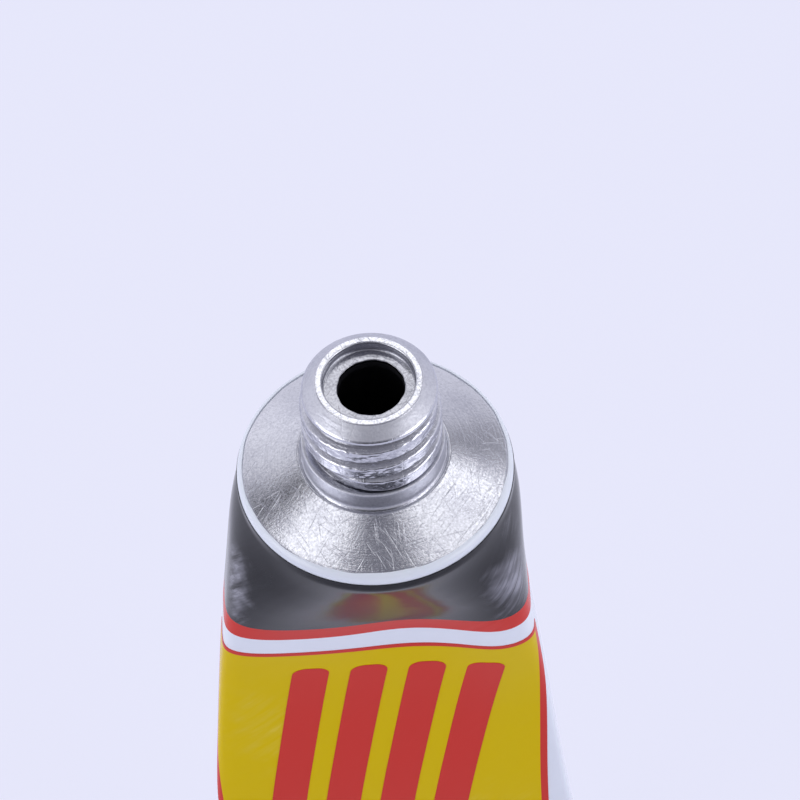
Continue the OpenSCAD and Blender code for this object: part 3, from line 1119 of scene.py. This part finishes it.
        # Each step names its result, its operation and what goes in, by name or as a number
        for name, operation, *terms in (
            ("angle", "ARCTAN2", "Y", "X"),
            ("from start", "SUBTRACT", "angle", "Start turn"),
            ("in turns", "DIVIDE", "from start", 2 * math.pi),
            ("part", "FRACT", "in turns"),
            ("up", "SUBTRACT", "Z", "First crest height"),
            ("up turns", "DIVIDE", "up", "Pitch"),
            ("whole off", "SUBTRACT", "up turns", "part"),
            ("nearest", "ROUND", "whole off"),
            ("room", "SUBTRACT", "Turns", "part"),
            ("most", "FLOOR", "room"),
            ("raised", "MAXIMUM", "nearest", 0.0),
            ("whole", "MINIMUM", "raised", "most"),
            ("along", "ADD", "whole", "part"),
            ("crest", "MULTIPLY", "along", "Pitch"),
            ("beside", "SUBTRACT", "up", "crest"),
            ("away", "ABSOLUTE", "beside"),
            ("root", "DIVIDE", "Root width", 2.0),
            ("flat", "DIVIDE", "Crest width", 2.0),
            ("share", "DIVIDE", "along", "Turns"),
            ("left", "SUBTRACT", 1.0, "share"),
            ("nearer", "MINIMUM", "share", "left"),
            ("fine", "DIVIDE", 1.0, "Ding size"),
        ):
            values = [known.get(term, term) for term in terms]
            known[name] = add("ShaderNodeMath", *values, operation=operation)
        ridge = add("ShaderNodeMapRange", known["away"], known["flat"], known["root"], 1.0, 0.0,
                    interpolation_type="SMOOTHSTEP")
        fade = add("ShaderNodeMapRange", known["nearer"], 0.0, size["Fade"],
                   interpolation_type="SMOOTHSTEP")
        noise = add("ShaderNodeTexNoise", noise_dimensions="4D", inputs={
            "Vector": place, "W": size["Seed"], "Scale": known["fine"], "Detail": 2.0})
        ding = add("ShaderNodeMapRange", noise, *self.ding_span, 0.0, size["Ding depth"])
        kept = add("ShaderNodeMath", 1.0, ding, operation="SUBTRACT")
        barrel = add("GeometryNodeInputNamedAttribute", "barrel", data_type="FLOAT")
        height = size["Thread depth"]
        for factor in (ridge, fade, kept, barrel):
            height = add("ShaderNodeMath", height, factor, operation="MULTIPLY")
        level = add("ShaderNodeCombineXYZ", xyz["X"], xyz["Y"])
        outward = add("ShaderNodeVectorMath", level, operation="NORMALIZE")
        push = add("ShaderNodeVectorMath", outward, operation="SCALE", inputs={"Scale": height})
        moved = add("GeometryNodeSetPosition", size["Geometry"], inputs={"Offset": push})
        tree.close(moved, "Metal", "Inside", "inside")
        return tree

    def dress(self, head: bpy.types.Object) -> None:
        """Seat the head on the tube."""
        seat(head, Body.TUBE, Slot.BARE_ALUMINIUM, "tube_head")


@dataclass
class WallCoats:
    """The foil wall, its white enamel and the printing on it, from the inside out."""

    shape: SleeveShape
    finishes: Finishes
    head: TubeHead
    tail: "FoldedTail"
    foil_step: float = 0.6
    # Distances of each layer's two faces from the foil
    enamel: Point = (0.02, 0.07)
    print_layer: Point = (0.055, 0.092)
    bar_layer: Point = (0.085, 0.115)
    row_step: float = 0.32
    black_from: float = 0.1
    red_from: float = 8.8
    red_w: float = 1.5
    white_w: float = 2.0
    border_w: float = 0.4
    border_columns: int = 4
    panel_end: float = 39.0
    panel_left: float = 9.7
    panel_right: float = 8.6
    panel_columns: int = 120
    bar_count: int = 4
    bar_w: float = 1.9
    bar_lean: float = -3.0
    bar_margin: float = 1.8
    bar_round: float = 0.7
    bar_columns: int = 14
    bar_corner_rows: int = 9
    skin_end: float = 42.4
    skin_lap: float = 0.03
    skin_foot_rows: int = 12
    # Wavy inner rim of the enamel: its reach, and each wave's count, height and start
    ring_wave: float = 0.05
    ring_waves: tuple[tuple[int, float, float], ...] = (
        (2, 0.5, 1.0), (5, 0.35, 0.3), (11, 0.3, 2.2), (23, 0.2, 5.0))
    ring_rows: int = 11

    @property
    def frame_start(self) -> float:
        """Distance from the shoulder edge down to the panel's border."""
        return self.red_from + self.red_w + self.white_w

    def build_foil(self) -> bpy.types.Object:
        """Build the bare foil wall."""
        downs = self.shape.downs(self.shape.rim_h, self.shape.foot_down, self.foil_step)
        return WallShell(self.shape, "foil_wall", -self.shape.foil_t, 0.0).ring(
            downs, self.finishes.inside)

    def skin_foot(self, off: float) -> list[np.ndarray]:
        """Rows that draw the enamel in over the tail's hinge.

        Args:
            off: Distance from the foil's outer face.

        Returns:
            Rows of points under the wall's foot.
        """
        places = self.shape.ring_places(WallShell.columns)
        foot = self.shape.row(self.shape.foot_down, places, off)
        lap = self.skin_lap + off - self.enamel[1]
        narrow_y = (self.tail.strip_t / 2 + lap) / np.abs(foot[:, 1]).max()
        narrow_x = (self.tail.half_w + lap) / np.abs(foot[:, 0]).max()
        rows = []
        for share in np.linspace(0, 1, self.skin_foot_rows + 1)[1:]:
            ease = share * share * (3 - 2 * share)
            scale = np.array([1 + (narrow_x - 1) * ease, 1 + (narrow_y - 1) * ease, 1.0])
            drop = np.array([0, 0, -(self.skin_end - self.shape.foot_down) * share])
            rows.append(foot * scale + drop)
        return rows

    def build_skin(self) -> bpy.types.Object:
        """Build the white enamel from the rim's foot down over the tail's hinge."""
        downs = self.shape.downs(self.shape.rim_h, self.shape.foot_down, self.row_step)
        return WallShell(self.shape, "enamel_skin", *self.enamel).ring(
            downs, self.finishes.enamel, self.skin_foot)

    def build_edge(self) -> bpy.types.Object:
        """Build the enamel that laps over the rounded shoulder edge, with a wavy inner rim.

        Returns:
            The closed ring.
        """
        edge_r, coat = self.head.edge_r, self.enamel[1] - self.enamel[0]
        middle_r = self.shape.tube_r - edge_r
        full = 90 - math.degrees(self.head.slope)
        turn = np.linspace(0, 2 * math.pi, self.head.columns, endpoint=False)
        wave = self.ring_wave * waves(turn, self.ring_waves)
        reach = np.radians(full) - (wave + self.ring_wave) / edge_r
        loops = []
        for radius in (edge_r + coat, edge_r):
            rounded = [
                np.stack([middle_r + radius * np.cos(reach * s), radius * np.sin(reach * s)], -1)
                for s in np.linspace(0, 1, self.ring_rows)]
            side = np.tile([middle_r + radius, -self.shape.rim_h], (len(turn), 1))
            loops.append([side] + rounded)
        outline = np.stack(loops[0] + loops[1][::-1])
        points = np.stack([
            outline[..., 0] * np.cos(turn), outline[..., 0] * np.sin(turn),
            outline[..., 1] + self.shape.shoulder_z], -1)
        count = len(outline)
        faces = grid_faces(count + 1, len(turn), True, 0, True) % (count * len(turn))
        return mesh_object("enamel_edge", points, faces, self.finishes.enamel)

    def band(self, name: str, start: float, end: float,
             material: bpy.types.Material) -> bpy.types.Object:
        """Build a printed band right round the wall, between two distances down."""
        downs = self.shape.downs(start, end, self.row_step)
        return WallShell(self.shape, name, *self.print_layer).ring(downs, material)

    def field(self, name: str, ends: Point, sides: Point, columns: int,
              material: bpy.types.Material) -> bpy.types.Object:
        """Build a printed rectangle on the front, between two distances down and two sides."""
        shell = WallShell(self.shape, name, *self.print_layer)
        return shell.patch(self.shape.downs(*ends, self.row_step), *sides, columns, material)

    def build_panel(self) -> bpy.types.Object:
        """Build the yellow field inside its border.

        Returns:
            The field.
        """
        ends = self.frame_start + self.border_w, self.panel_end - self.border_w
        sides = self.border_w - self.panel_left, self.panel_right - self.border_w
        return self.field("yellow_print", ends, sides, self.panel_columns, self.finishes.yellow)

    def build_border(self) -> bpy.types.Object:
        """Build the thin red frame as four strips of one piece.

        Returns:
            The joined frame.
        """
        top, end, wide = self.frame_start, self.panel_end, self.border_w
        left, right = -self.panel_left, self.panel_right
        upright = top + wide, end - wide
        strips = (
            ((top, top + wide), (left, right), self.panel_columns),
            ((end - wide, end), (left, right), self.panel_columns),
            (upright, (left, left + wide), self.border_columns),
            (upright, (right - wide, right), self.border_columns))
        return self.joined("red_frame", [
            self.field(f"frame_strip_{number}", *strip, self.finishes.red)
            for number, strip in enumerate(strips)])

    def build_bars(self) -> bpy.types.Object:
        """Build the slanted bars, with rounded corners.

        Returns:
            The joined bars.
        """
        inset_w, corner_r = self.border_w + self.bar_margin, self.bar_round
        start = self.frame_start + self.border_w + self.bar_margin
        end = self.panel_end - self.border_w - self.bar_margin
        first = self.border_w - self.panel_left + self.bar_margin - self.bar_lean
        last = self.panel_right - self.border_w - self.bar_margin - self.bar_w
        step = (last - first) / (self.bar_count - 1)
        turns = np.linspace(0, math.pi / 2, self.bar_corner_rows)
        corner = corner_r * (1 - np.cos(turns))
        middle = self.shape.downs(start + corner_r, end - corner_r, self.row_step)
        downs = np.unique(np.concatenate([start + corner, middle, end - corner]))
        near = np.minimum(corner_r, np.minimum(downs - start, end - downs))
        inset = corner_r - np.sqrt(corner_r ** 2 - (corner_r - near) ** 2)
        lean = self.bar_lean * (downs - start) / (end - start)
        bars = []
        for number in range(self.bar_count):
            left = first + number * step + lean
            shell = WallShell(self.shape, f"bar_{number}", *self.bar_layer)
            bars.append(shell.patch(downs, left + inset, left + self.bar_w - inset,
                                    self.bar_columns, self.finishes.red))
        return self.joined("slanted_bars", bars)

    def joined(self, name: str, parts: list[bpy.types.Object]) -> bpy.types.Object:
        """Join parts into one piece.

        Args:
            name: The piece's plain name.
            parts: Its parts, which become one object.

        Returns:
            The joined piece.
        """
        with bpy.context.temp_override(active_object=parts[0], selected_editable_objects=parts):
            bpy.ops.object.join()
        parts[0].name = name
        parts[0].data.name = name
        return parts[0]

    def build(self) -> dict[str, bpy.types.Object]:
        """Build every layer of the wall.

        Returns:
            The pieces by the solid that each stands for.
        """
        red_end = self.red_from + self.red_w
        return {
            "black_band": self.band(
                "black_print", self.black_from, self.red_from, self.finishes.black),
            "red_band": self.band("red_print", self.red_from, red_end, self.finishes.red),
            "sleeve": self.build_foil(),
            "sleeve_coat": self.build_skin(),
            "edge_coat": self.build_edge(),
            "yellow_panel": self.build_panel(),
            "panel_border": self.build_border(),
            "red_bars": self.build_bars(),
        }

    def dress(self, pieces: dict[str, bpy.types.Object]) -> None:
        """Seat the layers, and bake the enamel, which reaches over the tail's hinge, in place on no
        body.

        Args:
            pieces: The pieces by the solid that each stands for.
        """
        slots = {
            "sleeve": Slot.FOIL, "edge_coat": Slot.WHITE_ENAMEL, "black_band": Slot.BLACK_INK,
            "red_band": Slot.RED_INK, "yellow_panel": Slot.YELLOW_INK,
            "panel_border": Slot.RED_INK, "red_bars": Slot.RED_INK,
        }
        for node, slot in slots.items():
            seat(pieces[node], Body.TUBE, slot, node)
        skin = pieces["sleeve_coat"]
        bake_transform(skin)
        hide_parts("sleeve_coat")
        LOG.info("%s: %d faces between bodies tube and tail", skin.name, len(skin.data.polygons))


@dataclass
class FoldedTail:
    """The pressed end of the foil, folded twice, with its pressed ribs and its sealant."""

    finishes: Finishes
    tail_h: float = 5.0
    strip_t: float = 0.34
    strip_columns: int = 25
    layer_step: float = 0.37
    fold_drop: float = 0.9
    half_w: float = 10.354
    rib_spacing: float = 0.8
    rib_w: float = 0.34
    rib_rise: float = 0.045
    rib_margin: float = 0.7
    # Segments and rings of a rib
    rib_rounds: tuple[int, int] = (12, 10)
    # Heights of the lower and upper ends of the ribs
    front_ribs: Point = (0.85, 4.35)
    back_ribs: Point = (0.75, 3.65)
    seal_t: float = 0.1
    seal_foot: float = 1.15
    seal_proud: float = 0.012
    seal_columns: int = 41
    # Share by which the sealant's thickness swells, and the waves in a millimetre's width
    seal_swell: float = 0.12
    seal_wave: float = 2.3
    sharp_degrees: float = 50.0

    def centre_line(self) -> np.ndarray:
        """Middle line of the folded strip, from the hinge to the cut end.

        The last number of each stretch is its count of points.

        Returns:
            Rows of y and z.
        """
        bend_r, hem_r = self.layer_step, self.layer_step / 2
        low = bend_r + self.strip_t / 2
        hem_z = self.tail_h - self.fold_drop - hem_r - self.strip_t / 2
        down = [(0.0, z) for z in np.linspace(self.tail_h, low, 16)]
        bend = [(bend_r - bend_r * math.cos(t), low - bend_r * math.sin(t))
                for t in np.linspace(0, math.pi, 17)[1:]]
        up = [(2 * bend_r, z) for z in np.linspace(low, hem_z, 12)[1:]]
        hem = [(2 * bend_r - hem_r + hem_r * math.cos(t), hem_z + hem_r * math.sin(t))
               for t in np.linspace(0, math.pi, 13)[1:]]
        back = [(bend_r, z) for z in np.linspace(hem_z, low, 12)[1:]]
        return np.array(down + bend + up + hem + back)

    def outline(self) -> np.ndarray:
        """Closed outline of the folded strip seen from its end.

        Returns:
            Rows of y and z.
        """
        half = self.strip_t / 2
        line = self.centre_line()
        along = np.gradient(line, axis=0)
        along /= np.linalg.norm(along, axis=1)[:, None]
        side = np.stack([-along[:, 1], along[:, 0]], -1) * self.strip_t / 2
        cap = [(half * math.cos(t), self.tail_h + half * math.sin(t))
               for t in np.linspace(0, math.pi, 9)[1:-1]]
        return np.concatenate([line + side, (line - side)[::-1], np.array(cap)[::-1]])

    def build_strip(self) -> bpy.types.Object:
        """Build the folded strip and press the ribs on it.

        Returns:
            The finished strip.
        """
        outline = self.outline()
        columns = np.linspace(-self.half_w, self.half_w, self.strip_columns)
        count = len(outline)
        points = np.stack([np.column_stack([np.full(count, x), outline]) for x in columns])
        y, z = outline.T
        turned = np.sum(y * np.roll(z, -1) - np.roll(y, -1) * z) > 0
        faces = capped_faces(len(columns), count, turned)
        strip = mesh_object("folded_tail", points, faces, self.finishes.enamel,
                            self.sharp_degrees)
        ends = np.zeros(len(faces))
        ends[-2:] = 1
        store(strip, "cut", ends, "FACE")
        half = self.strip_t / 2
        self.rib_tree("front_ribs", -half, *self.front_ribs).apply(strip)
        self.rib_tree("back_ribs", 2 * self.layer_step + half, *self.back_ribs).apply(strip)
        return strip

    def rib_tree(self, name: str, y: float, low: float, high: float) -> NodeTree:
        """Build the tree that presses a row of upright ribs on one face of the tail.

        Args:
            name: The tree's name.
            y: Place of the face.
            low: Height of the ribs' lower ends.
            high: Height of their upper ends.

        Returns:
            The tree with the ribs' sizes as inputs.
        """
        tree = NodeTree(
            name,
            {"Half width": (self.half_w - self.rib_margin) * MM,
             "Spacing": self.rib_spacing * MM, "Rib width": self.rib_w * MM,
             "Rib rise": self.rib_rise * MM, "Rib length": (high - low) * MM,
             "Face": y * MM, "Middle": (low + high) / 2 * MM},
            {"Enamel": self.finishes.enamel, "Cut edge": self.finishes.inside})
        add, size = tree.add, tree.inputs
        width = add("ShaderNodeMath", size["Half width"], 2.0, operation="MULTIPLY")
        count = add("ShaderNodeMath", width, size["Spacing"], operation="DIVIDE")
        whole = add("ShaderNodeMath", count, operation="FLOOR")
        points = add("ShaderNodeMath", whole, 1.0, operation="ADD")
        left = add("ShaderNodeMath", size["Half width"], -1.0, operation="MULTIPLY")
        start, end = (add("ShaderNodeCombineXYZ", x, size["Face"], size["Middle"])
                      for x in (left, size["Half width"]))
        line = add("GeometryNodeMeshLine", mode="END_POINTS",
                   inputs={"Count": points, "Start Location": start, "Offset": end})
        rib = add("GeometryNodeMeshUVSphere", *self.rib_rounds, 0.5)
        thick = add("ShaderNodeMath", size["Rib rise"], 2.0, operation="MULTIPLY")
        shape = add("ShaderNodeCombineXYZ", size["Rib width"], thick, size["Rib length"])
        shaped = add("GeometryNodeTransform", rib, inputs={"Scale": shape})
        smooth = add("GeometryNodeSetShadeSmooth", shaped)
        placed = add("GeometryNodeInstanceOnPoints", line, inputs={"Instance": smooth})
        both = add("GeometryNodeJoinGeometry", placed)
        tree.tree.links.new(size["Geometry"], both.inputs[0])
        tree.close(both, "Enamel", "Cut edge", "cut")
        return tree

    def build_seal(self) -> bpy.types.Object:
        """Build the sealant strip, which shows as a fine line at both ends of the tail.

        Returns:
            The closed strip.
        """
        low, high = self.seal_foot, self.tail_h - self.fold_drop / 2
        half, reach = self.seal_t / 2, self.half_w + self.seal_proud
        across = np.linspace(-reach, reach, self.seal_columns)
        swell = half * (1 - self.seal_swell * np.cos(across * self.seal_wave))
        section = np.array([(-1, low), (-1, high), (1, high), (1, low)])
        points = np.stack([np.column_stack([np.full(4, x), section[:, 0] * s, section[:, 1]])
                           for x, s in zip(across, swell)])
        faces = capped_faces(len(across), len(section))
        return mesh_object("seal_strip", points, faces, self.finishes.latex)

    def build(self) -> list[bpy.types.Object]:
        """Build the folded strip and its sealant."""
        return [self.build_strip(), self.build_seal()]

    def dress(self, pieces: list[bpy.types.Object]) -> None:
        """Seat the strip and the sealant on the tail."""
        seat(pieces[0], Body.TAIL, Slot.ENAMELLED_FOIL, "tail_crimp")
        seat(pieces[1], Body.TAIL, Slot.LATEX, "end_seal")


@dataclass
class Filling:
    """The liquid inside the foil, with a level surface."""

    shape: SleeveShape
    finishes: Finishes
    top: float = 5.0
    clearance: float = 0.05
    row_step: float = 0.8
    columns: int = 120

    def build(self) -> bpy.types.Object:
        """Build the liquid as one closed body.

        Returns:
            The liquid.
        """
        off = -self.shape.foil_t - self.clearance
        downs = self.shape.downs(self.top, self.shape.foot_down, self.row_step)
        places = self.shape.ring_places(self.columns)
        rows = np.stack([self.shape.row(d, places, off) for d in downs])
        faces = capped_faces(len(downs), self.columns)
        return mesh_object("liquid_fill", rows, faces, self.finishes.adhesive)

    def dress(self, liquid: bpy.types.Object) -> None:
        """Seat the liquid in the tube."""
        seat(liquid, Body.TUBE, Slot.ADHESIVE, "adhesive")


@dataclass
class Studio:
    """Pale sweep, soft boxes, sky and the camera."""

    sweep_colour: str = "#e9eafd"
    sweep_half: float = 3.0
    glow_share: float = 0.88
    # Round soft boxes: direction from the tube's head, width in metres and brightness
    box_away: float = 0.5
    boxes: tuple[tuple[Direction, float, float], ...] = (
        ((-0.376, 0.044, 0.926), 0.25, 1.5), ((0.376, 0.044, 0.926), 0.25, 1.25),
        ((0.54, 0.33, 0.775), 0.16, 1.5), ((0.0, 0.58, 0.815), 0.2, 1.6),
        ((-0.52, 0.65, 0.555), 0.3, 0.36), ((-0.86, -0.44, 0.26), 0.34, 2.3),
        ((0.86, -0.44, 0.26), 0.34, 2.1))
    sky_strength: float = 1.3
    # Colours of the sky by its height, from the horizon to overhead
    sky_stops: tuple[tuple[float, str], ...] = (
        (0.0, "#d6d6e0"), (0.3, "#dcdce8"), (0.5, "#c4c4ce"), (0.75, "#8c8c96"),
        (1.0, "#686872"))
    # A dark card in front, under the camera: how square to it a direction is, and how high
    # it reaches
    card_edge: Point = (0.76, 0.94)
    card_top: Point = (0.46, 0.62)
    card_dark: float = 0.92
    # Small dark flags, which draw the dark wedges on the shoulder: direction and darkness
    flags: tuple[tuple[Direction, float], ...] = (
        ((-0.544, 0.338, 0.769), 0.92), ((0.519, 0.635, 0.573), 0.45))
    flag_edge: Point = (0.987, 0.997)
    aim: Direction = (0.0, 0.0, 47.0)
    elevation: float = math.radians(54.58)
    roll: float = math.radians(-3.58)
    distance: float = 170.0
    slide: Point = (1.213, 3.254)
    lens: float = 157.0
    sensor_w: float = 36.0
    clip: Point = (0.01, 20.0)

    def build_sweep(self) -> None:
        """Lay the pale floor, which glows evenly for the eye and keeps the shadow."""
        half = self.sweep_half / MM
        corners = np.array([(-half, -half, 0), (half, -half, 0), (half, half, 0), (-half, half, 0)])
        material = bpy.data.materials.new("paper_sweep")
        material.use_nodes = True
        tree = material.node_tree
        tree.nodes.clear()
        add = partial(add_node, tree)
        colour = linear(self.sweep_colour)
        paper = add("ShaderNodeBsdfDiffuse", colour)
        glow = add("ShaderNodeEmission", colour, 1.0)
        path = add("ShaderNodeLightPath").outputs
        seen = add("ShaderNodeMath", path["Is Camera Ray"], path["Is Glossy Ray"],
                   operation="MAXIMUM")
        shown = add("ShaderNodeMath", seen, path["Is Transmission Ray"], operation="MAXIMUM")
        share = add("ShaderNodeMath", shown, self.glow_share, operation="MULTIPLY")
        mixed = add("ShaderNodeMixShader", share, paper, glow)
        add("ShaderNodeOutputMaterial", mixed)
        mesh_object("paper_floor", corners, [(0, 1, 2, 3)], material)

    def build_sky(self) -> None:
        """Make the sky pale at the horizon, dim overhead and dark in front and at the flags."""
        world = bpy.data.worlds.new("studio_sky")
        bpy.context.scene.world = world
        world.use_nodes = True
        tree = world.node_tree
        tree.nodes.clear()
        add = partial(add_node, tree)
        view = add("ShaderNodeTexCoord").outputs["Generated"]
        up = add("ShaderNodeSeparateXYZ", view).outputs["Z"]
        ramp = add("ShaderNodeValToRGB", up)
        stops = ramp.color_ramp.elements
        for index, (place, colour) in enumerate(self.sky_stops):
            stop = stops[index] if index < len(stops) else stops.new(place)
            stop.position, stop.color = place, linear(colour)
        level = add("ShaderNodeVectorMath", view, (1, 1, 0), operation="MULTIPLY")
        heading = add("ShaderNodeVectorMath", level, operation="NORMALIZE")
        ahead = add("ShaderNodeSeparateXYZ", heading).outputs["Y"]
        square = add("ShaderNodeMapRange", ahead, -self.card_edge[0], -self.card_edge[1],
                     interpolation_type="SMOOTHSTEP")
        low = add("ShaderNodeMapRange", up, self.card_top[1], self.card_top[0],
                  0.0, self.card_dark * self.sky_strength, interpolation_type="SMOOTHSTEP")
        shade = add("ShaderNodeMath", square, low, operation="MULTIPLY")
        strength = add("ShaderNodeMath", self.sky_strength, shade, operation="SUBTRACT")
        for direction, dark in self.flags:
            facing = add("ShaderNodeVectorMath", view, Vector(direction).normalized(),
                         operation="DOT_PRODUCT").outputs["Value"]
            left = add("ShaderNodeMapRange", facing, *self.flag_edge, 1.0, 1 - dark,
                       interpolation_type="SMOOTHSTEP")
            strength = add("ShaderNodeMath", strength, left, operation="MULTIPLY")
        sky = add("ShaderNodeBackground", ramp, strength)
        add("ShaderNodeOutputWorld", sky)

    def build_boxes(self) -> None:
        """Hang the soft boxes, turned towards the tube's head."""
        for number, (direction, width, brightness) in enumerate(self.boxes):
            light = bpy.data.lights.new(f"soft_box_{number}", "AREA")
            light.shape = "DISK"
            light.size = width
            light.energy = brightness * math.pi * (math.pi * width ** 2 / 4)
            lamp = bpy.data.objects.new(light.name, light)
            away = Vector(direction).normalized() * self.box_away
            lamp.location = Vector(self.aim) * MM + away
            lamp.rotation_euler = away.to_track_quat("Z", "Y").to_euler()
            lamp.visible_camera = False
            bpy.context.scene.collection.objects.link(lamp)

    def build_camera(self) -> None:
        """Set the camera at the photograph's angle."""
        back = Vector((0, -math.cos(self.elevation), math.sin(self.elevation)))
        right = Vector((1, 0, 0))
        up = back.cross(right)
        side = right * math.cos(self.roll) + up * math.sin(self.roll)
        head = -right * math.sin(self.roll) + up * math.cos(self.roll)
        shift = self.distance * back + self.slide[0] * side + self.slide[1] * head
        data = bpy.data.cameras.new("camera")
        data.lens, data.sensor_width = self.lens, self.sensor_w
        data.clip_start, data.clip_end = self.clip
        camera = bpy.data.objects.new("camera", data)
        turned = Matrix((side, head, back)).transposed().to_4x4()
        camera.matrix_world = Matrix.Translation((Vector(self.aim) + shift) * MM) @ turned
        bpy.context.scene.collection.objects.link(camera)
        bpy.context.scene.camera = camera

    def build(self) -> None:
        """Build the whole set."""
        bpy.context.scene.view_settings.view_transform = "Standard"
        self.build_sweep()
        self.build_sky()
        self.build_boxes()
        self.build_camera()


def main() -> None:
    """Build the tube's sub-assemblies in order, then the set round them."""
    logging.basicConfig(level=logging.INFO, format="%(name)s: %(message)s")
    finishes = Finishes.make()
    shape = SleeveShape()
    head = TubeHead(shape, finishes)
    head.dress(head.build())
    tail = FoldedTail(finishes)
    coats = WallCoats(shape, finishes, head, tail)
    coats.dress(coats.build())
    tail.dress(tail.build())
    filling = Filling(shape, finishes)
    filling.dress(filling.build())
    Studio().build()


if __name__ == "__main__":
    main()
